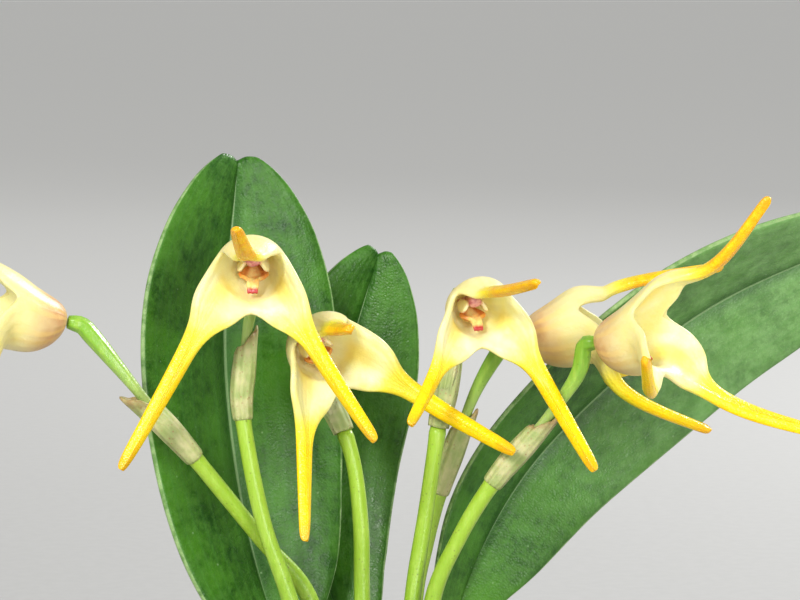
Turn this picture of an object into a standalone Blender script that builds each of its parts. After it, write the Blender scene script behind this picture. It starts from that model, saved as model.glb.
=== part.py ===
"""A small potted masdevallia orchid: three leathery leaves and six flowering stems in a plain clay pot.

Run with: blender --background --python part.py
The frame is +Z up with its origin at the middle of the pot's underside, and the blooms face -Y.
Sizes below are in millimetres, and MM turns them into metres.
"""

import math

import bmesh
import bpy
from mathutils import Matrix, Vector, noise

MM = 0.001
GAP = 0.3  # clearance between pieces that touch on the real plant

# The clay pot
POT_HEIGHT = 64.0
POT_TOP_RADIUS = 39.0
POT_FOOT_RADIUS = 27.0
POT_WALL = 4.2
POT_FLOOR = 5.0
RIM_HEIGHT = 15.0
RIM_PROUD = 2.2
POT_SIDES = 36
DRAIN_RADIUS = 3.2
DRAIN_RING = 15.0
DRAIN_COUNT = 3

# The bark that fills it
BARK_TOP = 57.0
BARK_RELIEF = 1.6
BARK_DOME = 2.0
BARK_RINGS = 7
BARK_SIDES = 28
BURIED_TO = 50.0  # height at which stems end inside the bark

# Stems
PEDUNCLE_RADIUS = 1.0
PEDICEL_RADIUS = 0.62
OVARY_RADIUS = 1.0
BRACT_WALL = 0.55
BRACT_RADIUS = 1.5
RAMICAUL_RADIUS = 1.3
SHEATH_WALL = 0.6

# Leaves
LEAF_THICKNESS = 1.7
LEAF_EDGE_SHARE = 0.42
LEAF_ROWS = 18
LEAF_COLUMNS = 8
NOTCH = 0.7
FOLD = math.radians(24)

# Blooms: the three sepals of one flower share a cup, then each narrows to a thick tail
SEPAL_THICKNESS = 1.5
SEPAL_EDGE_SHARE = 0.4
SEPAL_COLUMNS = 6
SECTOR = math.radians(60)
CHIN = 0.9
CUP = ((0.0, 0.0), (0.3, 1.6), (1.7, 3.1), (4.3, 4.2), (7.2, 4.9))
# Each row of a free lobe: way forward, distance from the axis, half width, half angle of its arc.
# The dorsal lobe is a hood on some blooms and opens on others, so it has both forms.
HOODED_LOBE = ((9.2, 4.6, 3.6, 56), (10.6, 4.1, 2.9, 52), (11.5, 3.8, 2.2, 50), (12.2, 3.9, 1.6, 56))
OPEN_LOBE = ((9.0, 5.9, 4.5, 50), (10.8, 6.9, 4.3, 42), (12.9, 7.1, 3.1, 42), (15.0, 6.6, 1.7, 56))
LATERAL_LOBE = ((8.2, 5.5, 3.7, 46), (9.0, 6.9, 3.3, 40), (9.6, 8.3, 2.6, 40), (10.0, 9.7, 1.6, 50))
TAIL_ROWS = 5
TAIL_HALF_WIDTH = 1.2
TIP_HALF_WIDTH = 0.5
TAIL_THINNING = 0.35
VENTRAL_FUSED_ROWS = 6  # the two lateral sepals stay joined one row further than the dorsal one
LATERAL_TURN = math.radians(14)  # each lateral's tip lies nearer the underside than the middle of its sector

# Each bloom: where its base sits, the way it faces (turn to the right, tilt up, roll), its size, how far its
# dorsal lobe opens, and the tips of its dorsal, left and right tails
BLOOMS = {
    "bloom_1": ((-14.1, -5.0, 131.6), (-2, -14, 0), 0.85, 0.0,
                (-15.4, -27.0, 135.9), (-29.5, -15.0, 107.0), (0.2, -20.0, 111.0)),
    "bloom_2": ((-8.8, 2.6, 120.8), (26, -6, 22), 0.88, 0.2,
                (-2.7, -15.5, 123.5), (-8.1, -11.0, 98.0), (16.6, -8.5, 108.2)),
    "bloom_3": ((10.7, -1.0, 125.9), (18, -8, 2), 0.77, 0.0,
                (18.7, -22.5, 129.5), (4.2, -14.5, 112.2), (25.8, -13.5, 106.7)),
    "bloom_4": ((18.2, 4.8, 120.8), (86, 12, 0), 0.92, 0.0,
                (42.3, 5.5, 129.2), (40.4, -1.0, 109.9), (37.0, 13.5, 119.5)),
    "bloom_5": ((26.6, -6.5, 121.2), (58, 12, -4), 0.9, 1.0,
                (45.5, -17.0, 139.0), (30.6, -27.6, 121.4), (54.5, -9.0, 110.2)),
    "bloom_6": ((-36.6, -8.0, 123.8), (-74, 12, 0), 0.84, 0.7,
                (-57.0, -14.0, 139.0), (-53.0, 3.0, 110.0), (-50.0, -22.0, 110.0)),
}

# Each flowering stem: the points it grows through, from the bark up to its joint,
# then the points of the pedicel and ovary up to the bloom's base
PEDUNCLES = {
    "bloom_1": ((-3.0, -6.0), (-3.4, -6.0, 62.0), (-6.2, -6.2, 76.0), (-10.1, -6.0, 90.2),
                (-13.4, -5.6, 100.0), (-15.7, -4.6, 112.0)),
    "bloom_2": ((0.0, -1.6), (0.0, -1.4, 62.0), (-1.0, 0.4, 76.0), (-1.6, 2.0, 89.0),
                (-1.7, 2.3, 97.0), (-2.4, 2.6, 104.2), (-3.6, 3.0, 108.8)),
    "bloom_3": ((3.2, -6.6), (3.3, -6.2, 62.0), (3.6, -3.6, 76.0), (4.5, -0.4, 89.2),
                (6.0, 0.6, 99.0), (7.6, 0.8, 110.0)),
    "bloom_4": ((4.6, 0.4), (4.6, 1.0, 62.0), (4.4, 3.6, 76.0), (4.8, 5.4, 88.0), (6.2, 6.2, 95.0), (7.8, 6.4, 101.4)),
    "bloom_5": ((7.4, -4.6), (7.0, -4.4, 62.0), (6.0, -3.8, 76.0), (6.8, -3.2, 89.2),
                (10.1, -3.6, 97.4), (14.2, -3.9, 104.2)),
    "bloom_6": ((-6.0, -2.4), (-5.6, -2.0, 62.0), (-5.2, -0.6, 76.0), (-7.9, 0.2, 89.2), (-13.8, -1.8, 97.0),
                (-21.4, -5.4, 107.2)),
}
PEDICELS = {
    "bloom_1": ((-15.6, -3.6, 117.5), (-15.1, -1.9, 123.0), (-14.2, -1.6, 127.2)),
    "bloom_2": ((-5.7, 4.2, 113.0), (-8.0, 5.8, 117.2), (-9.6, 6.2, 120.0)),
    "bloom_3": ((8.6, 1.2, 114.6), (9.4, 2.2, 119.6), (9.4, 2.6, 123.4)),
    "bloom_4": ((9.9, 6.2, 107.7), (12.0, 5.6, 113.4), (14.2, 5.0, 117.6)),
    "bloom_5": ((19.2, -4.2, 110.2), (22.4, -4.6, 114.4), (24.3, -5.0, 117.6)),
    "bloom_6": ((-25.3, -6.8, 112.0), (-29.2, -7.7, 117.0), (-32.8, -7.7, 121.4)),
}
BRACT_LENGTH = 8.5
BRACT_FLARE = {"bloom_6": 1.1}  # how far the point of a bract stands off the stem

# Each leaf: the points of its midrib from the top of its ramicaul to its tip, its half width, and the way it faces
LEAVES = {
    "leaf_a": (((-7.2, 4.2, 70.0), (-10.0, 5.4, 78.0), (-14.4, 7.4, 90.0), (-17.6, 9.6, 104.0),
                (-19.0, 12.4, 121.0), (-17.2, 14.0, 142.4)), 14.0, (0.53, -0.85, 0.15)),
    "leaf_b": (((-0.6, 8.2, 70.0), (-2.4, 11.6, 79.0), (-6.6, 16.6, 90.0), (-7.0, 20.6, 103.0),
                (-3.8, 23.2, 116.0), (0.4, 24.6, 130.0)), 9.6, (0.2, -0.96, 0.15)),
    "leaf_c": (((7.4, 6.6, 70.0), (8.8, 9.4, 79.0), (11.6, 14.0, 90.4), (20.6, 19.4, 104.8),
                (38.8, 24.4, 120.6), (55.4, 28.6, 128.6), (68.0, 31.0, 132.0)), 11.8, (0.1, -0.85, -0.5)),
}
RAMICAUL_FEET = {"leaf_a": (-5.6, 3.2), "leaf_b": (-0.6, 6.4), "leaf_c": (5.6, 4.8)}
RAMICAUL_TOP = 69.6
RHIZOME_RADIUS = 1.8
ROOT_RADIUS = 0.9
ROOTS = (((-6.5, 3.6), (-10.5, 7.0), (-14.0, 8.5)), ((-2.0, 6.2), (-4.0, 11.0), (-5.5, 14.0)),
         ((2.0, 6.4), (4.2, 11.4), (5.4, 14.5)), ((6.6, 4.9), (11.0, 6.8), (15.0, 7.0)))


def clear_scene():
    for obj in list(bpy.data.objects):
        bpy.data.objects.remove(obj)


def collection(name):
    made = bpy.data.collections.new(name)
    bpy.context.scene.collection.children.link(made)
    return made


def material(name, colour, roughness):
    """A plain Principled material, made once for each name."""
    found = bpy.data.materials.get(name)
    if found:
        return found
    made = bpy.data.materials.new(name)
    made.use_nodes = True
    shader = made.node_tree.nodes["Principled BSDF"]
    shader.inputs["Base Color"].default_value = (*colour, 1)
    shader.inputs["Roughness"].default_value = roughness
    shader.inputs["Metallic"].default_value = 0.0
    return made


def clay():
    return material("clay", (0.56, 0.25, 0.14), 0.85)


def bark_brown():
    return material("bark", (0.17, 0.09, 0.05), 0.95)


def leaf_green():
    return material("leaf", (0.05, 0.19, 0.04), 0.38)


def stem_green():
    return material("stem", (0.33, 0.5, 0.07), 0.45)


def papery():
    return material("bract", (0.62, 0.62, 0.42), 0.7)


def sepal_yellow():
    return material("sepal", (0.9, 0.78, 0.32), 0.42)


def heart_pink():
    return material("heart", (0.72, 0.36, 0.26), 0.5)


def lip_orange():
    return material("lip", (0.7, 0.27, 0.1), 0.5)


def root_white():
    return material("rhizome", (0.5, 0.47, 0.33), 0.75)


def vectors(points):
    return [Vector(p) for p in points]


def smooth_path(points, count):
    """count + 1 points, evenly spaced along the smooth curve through the given ones."""
    points = vectors(points)
    ends = [2 * points[0] - points[1], *points, 2 * points[-1] - points[-2]]
    fine = []
    for before, start, end, after in zip(ends, ends[1:], ends[2:], ends[3:]):
        for step in range(12):
            t = step / 12
            fine.append(0.5 * (2 * start + (end - before) * t
                               + (2 * before - 5 * start + 4 * end - after) * t * t
                               + (3 * start - before - 3 * end + after) * t ** 3))
    fine.append(points[-1])
    along = [0.0]
    for start, end in zip(fine, fine[1:]):
        along.append(along[-1] + (end - start).length)
    path = []
    place = 0
    for step in range(count + 1):
        target = along[-1] * step / count
        while place < len(along) - 2 and along[place + 1] < target:
            place += 1
        share = (target - along[place]) / (along[place + 1] - along[place])
        path.append(fine[place].lerp(fine[place + 1], share))
    return path


def length_of(path):
    return sum((end - start).length for start, end in zip(path, path[1:]))


def tangents(path):
    last = len(path) - 1
    return [(path[min(i + 1, last)] - path[max(i - 1, 0)]).normalized() for i in range(last + 1)]


def interpolated(table, t):
    """The value at t of a table of (t, value) rows, along a smooth curve through the rows."""
    last = len(table) - 1
    slopes = []
    for row in range(last + 1):
        before, after = table[max(row - 1, 0)], table[min(row + 1, last)]
        slopes.append((after[1] - before[1]) / (after[0] - before[0]))
    row = 0
    while row < last - 1 and t > table[row + 1][0]:
        row += 1
    (low, value), (high, end) = table[row], table[row + 1]
    span = high - low
    share = min(max((t - low) / span, 0.0), 1.0)
    keep = (1 + 2 * share) * (1 - share) ** 2
    return (value * keep + end * (1 - keep) + slopes[row] * span * share * (1 - share) ** 2
            - slopes[row + 1] * span * share * share * (1 - share))


def tube(name, group, path, radii, look, resolution=1):
    """A round stem along a path, as a curve with a bevel and filled caps. Radii are in millimetres."""
    curve = bpy.data.curves.new(name, "CURVE")
    curve.dimensions = "3D"
    curve.bevel_depth = max(radii) * MM
    curve.bevel_resolution = resolution
    curve.use_fill_caps = True
    spline = curve.splines.new("POLY")
    spline.points.add(len(path) - 1)
    for point, place, radius in zip(spline.points, path, radii):
        point.co = (*(place * MM), 1)
        point.radius = radius / max(radii)
    obj = bpy.data.objects.new(name, curve)
    obj.data.materials.append(look)
    group.objects.link(obj)
    return obj


def as_mesh(obj, group):
    """The curve object made a mesh object of the same name, with its caps welded on."""
    name = obj.name
    bpy.context.view_layer.update()
    graph = bpy.context.evaluated_depsgraph_get()
    mesh = bpy.data.meshes.new_from_object(obj.evaluated_get(graph))
    made = bpy.data.objects.new(name + "_mesh", mesh)
    made.matrix_world = obj.matrix_world
    bpy.data.objects.remove(obj)
    shell = bmesh.new()
    shell.from_mesh(mesh)
    bmesh.ops.remove_doubles(shell, verts=shell.verts, dist=1e-6)
    bmesh.ops.recalc_face_normals(shell, faces=shell.faces)
    shell.to_mesh(mesh)
    shell.free()
    made.name = name
    group.objects.link(made)
    return made


def join(target, others):
    """One body from the target and the others, by a Boolean union on their collection, applied."""
    group = bpy.data.collections.new(target.name + "_joined")
    for other in others:
        group.objects.link(other)
    union = target.modifiers.new("union", "BOOLEAN")
    union.operation = "UNION"
    union.operand_type = "COLLECTION"
    union.collection = group
    bpy.context.view_layer.update()
    graph = bpy.context.evaluated_depsgraph_get()
    mesh = bpy.data.meshes.new_from_object(target.evaluated_get(graph))
    target.modifiers.remove(union)
    target.data = mesh
    for other in others:
        bpy.data.objects.remove(other)
    bpy.data.collections.remove(group)
    return target


def cutter(obj, cutters):
    """Marks an object as a helper that only cuts."""
    for user in list(obj.users_collection):
        user.objects.unlink(obj)
    cutters.objects.link(obj)
    obj.hide_render = True
    obj.display_type = "WIRE"
    return obj


def cut(target, tool):
    hole = target.modifiers.new("cut_" + tool.name, "BOOLEAN")
    hole.operation = "DIFFERENCE"
    hole.object = tool


def turned(name, group, profile, sides, look):
    """A turned shape: the profile of (radius, height) points, screwed round Z."""
    mesh = bpy.data.meshes.new(name)
    points = [(radius * MM, 0, height * MM) for radius, height in profile]
    mesh.from_pydata(points, [(i, i + 1) for i in range(len(points) - 1)], [])
    obj = bpy.data.objects.new(name, mesh)
    mesh.materials.append(look)
    group.objects.link(obj)
    screw = obj.modifiers.new("turn", "SCREW")
    screw.steps = sides
    screw.render_steps = sides
    screw.use_merge_vertices = True
    screw.merge_threshold = 0.00005
    screw.use_smooth_shade = True
    return obj


def blade(name, group, grids, thickness, edge_share, look):
    """A thin body from open grids of (point, share of the thickness), welded where they meet and thickened."""
    mesh = bpy.data.meshes.new(name)
    surface = bmesh.new()
    shares = surface.verts.layers.deform.verify()
    for grid in grids:
        rows, columns = len(grid) - 1, len(grid[0]) - 1
        made = bmesh.ops.create_grid(surface, x_segments=columns, y_segments=rows, size=1.0)
        for vert in made["verts"]:
            column = round((vert.co.x + 1) / 2 * columns)
            row = round((vert.co.y + 1) / 2 * rows)
            point, share = grid[row][column]
            vert.co = point * MM
            vert[shares][0] = share
    bmesh.ops.remove_doubles(surface, verts=surface.verts, dist=2e-6)
    bmesh.ops.recalc_face_normals(surface, faces=surface.faces)
    bmesh.ops.triangulate(surface, faces=surface.faces, quad_method="SHORT_EDGE")
    surface.to_mesh(mesh)
    surface.free()
    obj = bpy.data.objects.new(name, mesh)
    mesh.materials.append(look)
    group.objects.link(obj)
    obj.vertex_groups.new(name="thick")
    solid = obj.modifiers.new("thickness", "SOLIDIFY")
    solid.thickness = thickness * MM
    solid.offset = 0
    solid.use_quality_normals = True
    solid.vertex_group = "thick"
    solid.thickness_vertex_group = edge_share * 0.5
    return obj


def make_pot(group, cutters):
    """The clay pot: a tapered wall with a plain rim band, a thick floor and three drain holes round the middle."""
    band = POT_HEIGHT - RIM_HEIGHT
    taper = (POT_TOP_RADIUS - POT_FOOT_RADIUS) / POT_HEIGHT

    def radius_at(height):
        return POT_FOOT_RADIUS + taper * height

    profile = (
        (0, 0), (POT_FOOT_RADIUS - 0.8, 0), (POT_FOOT_RADIUS, 0.8), (radius_at(band) - 0.4, band - 0.6),
        (radius_at(band) + RIM_PROUD - 0.7, band), (radius_at(band) + RIM_PROUD, band + 0.8),
        (POT_TOP_RADIUS + RIM_PROUD, POT_HEIGHT - 1.4), (POT_TOP_RADIUS + RIM_PROUD - 1.2, POT_HEIGHT),
        (POT_TOP_RADIUS - POT_WALL + 1.6, POT_HEIGHT), (POT_TOP_RADIUS - POT_WALL, POT_HEIGHT - 1.6),
        (radius_at(POT_FLOOR) - POT_WALL, POT_FLOOR + 1.5), (radius_at(POT_FLOOR) - POT_WALL - 1.5, POT_FLOOR),
        (0, POT_FLOOR),
    )
    pot = turned("pot", group, tuple(reversed(profile)), POT_SIDES, clay())
    for number in range(DRAIN_COUNT):
        turn = 2 * math.pi * number / DRAIN_COUNT
        bpy.ops.mesh.primitive_cylinder_add(
            vertices=14, radius=DRAIN_RADIUS * MM, depth=3 * POT_FLOOR * MM,
            location=(DRAIN_RING * MM * math.cos(turn), DRAIN_RING * MM * math.sin(turn), POT_FLOOR / 2 * MM))
        drain = cutter(bpy.context.object, cutters)
        drain.name = f"drain_cutter_{number + 1}"
        cut(pot, drain)
    return pot


def bark_height(x, y):
    """The top of the bark: a low dome with lumps, in millimetres."""
    far = math.hypot(x, y) / (POT_TOP_RADIUS - POT_WALL)
    lump = noise.noise(Vector((x * 0.19, y * 0.19, 3.0))) + 0.6 * noise.noise(Vector((x * 0.42, y * 0.42, 9.0)))
    return BARK_TOP + BARK_DOME * (1 - far * far) + BARK_RELIEF * lump


def make_bark(group):
    """The bark: one plug that fills the pot, its top raised in lumps by a formula."""
    mesh = bpy.data.meshes.new("bark")
    taper = (POT_TOP_RADIUS - POT_FOOT_RADIUS) / POT_HEIGHT
    low = POT_FLOOR + 1.6 + GAP
    foot = POT_FOOT_RADIUS + taper * POT_FLOOR - POT_WALL - 2.0 - GAP
    side = POT_TOP_RADIUS - POT_WALL - taper * (POT_HEIGHT - BARK_TOP) - 2 * GAP - 0.4
    plug = bmesh.new()
    bmesh.ops.create_grid(plug, x_segments=BARK_SIDES, y_segments=BARK_RINGS + 3, size=1.0)
    for vert in plug.verts:
        turn = (vert.co.x + 1) * math.pi
        row = round((vert.co.y + 1) / 2 * (BARK_RINGS + 3))
        if row <= BARK_RINGS:
            radius = side * row / BARK_RINGS
            x, y = radius * math.cos(turn), radius * math.sin(turn)
            height = bark_height(x, y)
        else:
            radius, height = {1: (side, BARK_TOP - 5.0), 2: (foot, low), 3: (0.0, low)}[row - BARK_RINGS]
            x, y = radius * math.cos(turn), radius * math.sin(turn)
        vert.co = Vector((x, y, height)) * MM
    bmesh.ops.remove_doubles(plug, verts=plug.verts, dist=2e-6)
    bmesh.ops.recalc_face_normals(plug, faces=plug.faces)
    plug.to_mesh(mesh)
    plug.free()
    bark = bpy.data.objects.new("bark", mesh)
    mesh.materials.append(bark_brown())
    group.objects.link(bark)
    return bark


def make_rhizome(group, bark, cutters):
    """The creeping stem that the leaves grow from: it lies on the bark, with three ramicauls and four roots."""
    def lie(x, y, lift):
        return Vector((x, y, BARK_TOP + BARK_DOME + lift))

    feet = [RAMICAUL_FEET[leaf] for leaf in sorted(RAMICAUL_FEET)]
    creep = smooth_path([lie(-9.0, 1.6, 0.2), *(lie(x, y, 0.7) for x, y in feet), lie(8.6, 3.2, 0.0)], 12)
    creep_radii = [RHIZOME_RADIUS * (0.45 + 0.55 * math.sin(math.pi * i / 12) ** 0.4) for i in range(13)]
    runs = [("rhizome", creep, creep_radii)]
    for leaf, (x, y) in RAMICAUL_FEET.items():
        top = Vector(LEAVES[leaf][0][0])
        top.z = RAMICAUL_TOP
        path = smooth_path([lie(x, y, 0.4), lie(x, y, 3.0), top], 5)
        runs.append((leaf + "_ramicaul", path, [RAMICAUL_RADIUS] * 6))
    for number, (start, over, end) in enumerate(ROOTS):
        path = smooth_path([lie(*start, 0.6), lie(*over, 0.9), Vector((*end, BURIED_TO))], 7)
        runs.append((f"root_{number + 1}", path, [ROOT_RADIUS] * 8))
    solids = [as_mesh(tube(name, group, path, radii, root_white()), group) for name, path, radii in runs]
    for name, path, radii in runs:
        wide = [radius + GAP + 0.1 for radius in radii]
        pocket = as_mesh(tube(name + "_pocket", group, path, wide, bark_brown()), group)
        cut(bark, cutter(pocket, cutters))
    return join(solids[0], solids[1:])


def stem_paths(name, forward, seat):
    """One smooth stem from inside the bark to the bloom's base, parted at its joint into peduncle and pedicel."""
    foot, *points = PEDUNCLES[name]
    joint = Vector(points[-1])
    end = seat - forward * (GAP + 0.42)
    start = Vector((*foot, BURIED_TO))
    whole = smooth_path([start, *vectors(points), *vectors(PEDICELS[name]), end - forward * 1.3, end], 54)
    parting = min(range(len(whole)), key=lambda i: (whole[i] - joint).length)
    return whole[:parting + 1], whole[parting:]


def make_peduncle(name, group, bark, cutters, whole):
    """A flower's stalk from the bark to its joint, standing in a plain hole."""
    path = smooth_path(whole, 12)
    radii = [PEDUNCLE_RADIUS * (1.12 - 0.18 * i / 12) for i in range(13)]
    tube(name.replace("bloom", "peduncle"), group, path, radii, stem_green())
    hole_path = [path[0] - Vector((0, 0, GAP)), *path[1:4]]
    hole_radius = PEDUNCLE_RADIUS * 1.12 + GAP + 0.1
    hole = as_mesh(tube(name + "_hole", group, hole_path, [hole_radius] * 4, bark_brown()), group)
    cut(bark, cutter(hole, cutters))


def make_pedicel(name, group, whole):
    """The pedicel and ovary: it starts just off the peduncle's end inside the bract and ends at the bloom's base."""
    path = smooth_path(whole, 12)
    reach = length_of(path)
    path[0] = path[0] + (path[1] - path[0]).normalized() * GAP
    table = ((0.0, PEDICEL_RADIUS), (BRACT_LENGTH / reach + 0.06, PEDICEL_RADIUS), (0.84, OVARY_RADIUS),
             (0.95, OVARY_RADIUS * 0.95), (1.0, OVARY_RADIUS * 0.8))
    radii = [interpolated(table, i / 12) for i in range(13)]
    tube(name.replace("bloom", "ovary"), group, path, radii, stem_green())


def make_bract(name, group, path):
    """The papery bract: a sleeve round the pedicel with a slanted mouth that ends in a point."""
    rows, sides = 5, 8
    whole = length_of(path)
    profile = ((0.0, 0.82), (0.18, 0.9), (0.55, 1.0), (0.85, 0.92), (1.0, 0.86))
    frames = tangents(path)
    grid = []
    side = path[-1] - path[0]
    side.z = 0
    for row in range(rows + 1):
        ring = []
        for column in range(sides + 1):
            turn = 2 * math.pi * column / sides
            reach = BRACT_LENGTH * row / rows * (1 + 0.26 * math.cos(turn) * (row / rows) ** 3)
            place = (GAP + 0.1 + reach) / whole * (len(path) - 1)
            low = min(int(place), len(path) - 2)
            centre = path[low].lerp(path[low + 1], place - low)
            along = frames[low].lerp(frames[low + 1], place - low).normalized()
            across = (side - along * side.dot(along)).normalized()
            radius = BRACT_RADIUS * interpolated(profile, row / rows) - BRACT_WALL / 2
            radius += BRACT_FLARE.get(name, 0.0) * max(0.0, math.cos(turn)) * (row / rows) ** 4
            out = across * math.cos(turn) + along.cross(across) * math.sin(turn)
            ring.append((centre + out * radius, 1.0))
        grid.append(ring)
    return blade(name.replace("bloom", "bract"), group, [grid], BRACT_WALL, 2.0, papery())


def make_sheath(name, group):
    """The papery sleeve round a ramicaul's top and the foot of its leaf."""
    top = Vector(LEAVES[name][0][0])
    foot = Vector((*RAMICAUL_FEET[name], BARK_TOP + BARK_DOME + 3.0))
    path = smooth_path([foot, Vector((top.x, top.y, RAMICAUL_TOP)), Vector(LEAVES[name][0][1])], 20)
    rows, sides = 4, 8
    frames = tangents(path)
    grid = []
    for row in range(rows + 1):
        ring = []
        for column in range(sides + 1):
            turn = 2 * math.pi * column / sides
            place = 5.0 + 8.0 * row / rows * (1 + 0.22 * math.cos(turn) * (row / rows) ** 2)
            low = int(place)
            centre = path[low].lerp(path[low + 1], place - low)
            along = frames[low]
            across = (Vector((0, 1, 0)) - along * along.y).normalized()
            radius = RAMICAUL_RADIUS + GAP + 0.35 + SHEATH_WALL / 2 + 0.35 * (row / rows) ** 2
            out = across * math.cos(turn) + along.cross(across) * math.sin(turn)
            ring.append((centre + out * radius, 1.0))
        grid.append(ring)
    return blade(name + "_sheath", group, [grid], SHEATH_WALL, 2.0, papery())


def make_leaf(name, group):
    """A leathery leaf: a folded blade that narrows to its petiole and ends in a shallow notch."""
    points, half_width, facing = LEAVES[name]
    ends = smooth_path(points, 60)
    outline = ((0.0, 1.15 / half_width), (0.09, 1.2 / half_width), (0.17, 0.32), (0.28, 0.68), (0.44, 0.9),
               (0.62, 1.0), (0.77, 0.95), (0.88, 0.75), (0.95, 0.5), (0.985, 0.3), (1.0, 0.16))
    frames = tangents(ends)
    grid = []
    for row in range(LEAF_ROWS + 1):
        even = row / LEAF_ROWS
        v = even + 0.1 * math.sin(math.pi * even) * even
        place = v * 60
        low = min(int(place), 59)
        centre = ends[low].lerp(ends[low + 1], place - low)
        along = frames[low].lerp(frames[low + 1], place - low).normalized()
        across = Vector(facing).cross(along).normalized()
        front = along.cross(across)
        width = half_width * interpolated(outline, v)
        line = []
        for column in range(LEAF_COLUMNS + 1):
            x = 2 * column / LEAF_COLUMNS - 1
            x = x * (0.75 + 0.25 * abs(x))
            lift = width * abs(x) * math.tan(FOLD) - width * x * x * 0.1
            wave = 0.35 * math.sin(9 * v + 2 * x) * x * x * min(1.0, 4 * v)
            dip = NOTCH * math.exp(-(x * 3.2) ** 2) * v ** 12
            point = centre + across * (x * width) + front * (lift + wave) - along * dip
            thick = 0.5 + 0.5 * math.exp(-(x * width / 3.0) ** 2)
            share = max(LEAF_EDGE_SHARE, thick * (1 - 0.3 * v))
            line.append((point, share))
        grid.append(line)
    return blade(name, group, [grid], LEAF_THICKNESS, LEAF_EDGE_SHARE, leaf_green())


def facing_axes(turn, tilt, roll):
    """The way a bloom faces, its upper side and its right side, as unit vectors."""
    turn, tilt, roll = (math.radians(angle) for angle in (turn, tilt, roll))
    forward = Vector((math.sin(turn) * math.cos(tilt), -math.cos(turn) * math.cos(tilt), math.sin(tilt)))
    right = Vector((math.cos(turn), math.sin(turn), 0))
    up = forward.cross(right)
    spin = Matrix.Rotation(roll, 3, forward)
    return forward, spin @ up, spin @ right


def lobe_of(kind, opening):
    """The free rows of a sepal: the dorsal one lies between its hooded and its open form."""
    if kind != "dorsal":
        return LATERAL_LOBE
    return [[hooded + (opened - hooded) * opening for hooded, opened in zip(*rows)] for rows in zip(HOODED_LOBE, OPEN_LOBE)]


def sepal_rows(kind, axes, seat, size, opening, tip):
    """The rows of one sepal, from the cup's base to the tail's tip: each is 7 points with their share of thickness."""
    forward, up, right = axes
    middle = {"dorsal": math.pi / 2, "left": math.radians(210), "right": math.radians(330)}[kind]
    bend = {"dorsal": 0.0, "left": LATERAL_TURN, "right": -LATERAL_TURN}[kind]
    lobe = lobe_of(kind, opening)

    def outward(angle):
        return right * math.cos(angle) + up * math.sin(angle)

    def place(way, radius, angle):
        chin = CHIN * math.sin(math.pi * min(way / 7.2, 1.0))
        return seat + (forward * way + outward(angle) * radius - up * chin) * size

    rows = []
    shares = [2 * column / SEPAL_COLUMNS - 1 for column in range(SEPAL_COLUMNS + 1)]
    for way, radius in CUP:
        rows.append([(place(way, radius, middle + SECTOR * x), SEPAL_EDGE_SHARE) for x in shares])
    spine = []
    for number, (way, radius, width, arc) in enumerate(lobe):
        angle = middle + bend * (number + 1) / len(lobe)
        spine.append((place(way, radius, angle), width * size, math.radians(arc)))
    start, before = spine[-1][0], spine[-2][0]
    tip = Vector(tip)
    reach = (tip - start).length
    leave = (start - before).normalized()
    control = start + leave * reach * 0.28
    turn_in = start.lerp(tip, 0.68) + leave * reach * 0.05
    for number in range(1, TAIL_ROWS + 1):
        t = number / TAIL_ROWS
        point = (start * (1 - t) ** 3 + control * 3 * t * (1 - t) ** 2 + turn_in * 3 * t * t * (1 - t) + tip * t ** 3)
        width = TAIL_HALF_WIDTH + (TIP_HALF_WIDTH - TAIL_HALF_WIDTH) * t
        width *= 0.62 if number == TAIL_ROWS else 1.0
        spine.append((point, width * size, math.radians(62)))
    first = place(*CUP[-1], middle)
    along = tangents([first, *(entry[0] for entry in spine)])[1:]
    across = outward(middle + math.pi / 2)
    for number, ((point, width, arc), way) in enumerate(zip(spine, along)):
        across = (across - way * across.dot(way)).normalized()
        inner = way.cross(across)
        bow = width / math.sin(arc)
        thinned = 1 - TAIL_THINNING * max(0, number + 1 - len(lobe)) / TAIL_ROWS
        tail = min(1.0, max(0.0, (number - 1) / 3)) * thinned
        line = []
        for x in shares:
            spot = point + across * bow * math.sin(arc * x) + inner * bow * (1 - math.cos(arc * x))
            thick = SEPAL_EDGE_SHARE + (1 - SEPAL_EDGE_SHARE) * tail * math.sqrt(max(0.0, 1 - x * x))
            line.append((spot, thick))
        rows.append(line)
    return rows


def weld_edges(one, one_column, other, other_column, upto):
    """Brings the edges of two sepals together over their fused rows, easing the change across each sepal."""
    for row in range(1, upto):
        meet = (one[row][one_column][0] + other[row][other_column][0]) / 2
        for sepal, edge in ((one, one_column), (other, other_column)):
            shift = meet - sepal[row][edge][0]
            for column in range(SEPAL_COLUMNS + 1):
                near = 1 - abs(column - edge) / (SEPAL_COLUMNS / 2)
                if near > 0:
                    point, share = sepal[row][column]
                    sepal[row][column] = (point + shift * near * near, share)


def make_sepals(name, group, axes, seat, size, opening, tips):
    """The three sepals, fused into a cup at the base, with three tails."""
    dorsal, left, right = (sepal_rows(kind, axes, seat, size, opening, tip)
                           for kind, tip in zip(("dorsal", "left", "right"), tips))
    fused = len(CUP)
    weld_edges(right, SEPAL_COLUMNS, dorsal, 0, fused)
    weld_edges(dorsal, SEPAL_COLUMNS, left, 0, fused)
    weld_edges(left, SEPAL_COLUMNS, right, 0, VENTRAL_FUSED_ROWS + 1)
    return blade(name, group, [dorsal, left, right], SEPAL_THICKNESS, SEPAL_EDGE_SHARE, sepal_yellow())


def local_grid(axes, seat, size, rows):
    """A grid given in a bloom's own (right, up, forward) millimetres, placed in the frame."""
    forward, up, right = axes
    return [[(seat + (right * x + up * y + forward * z) * size, share) for x, y, z, share in row] for row in rows]


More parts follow.
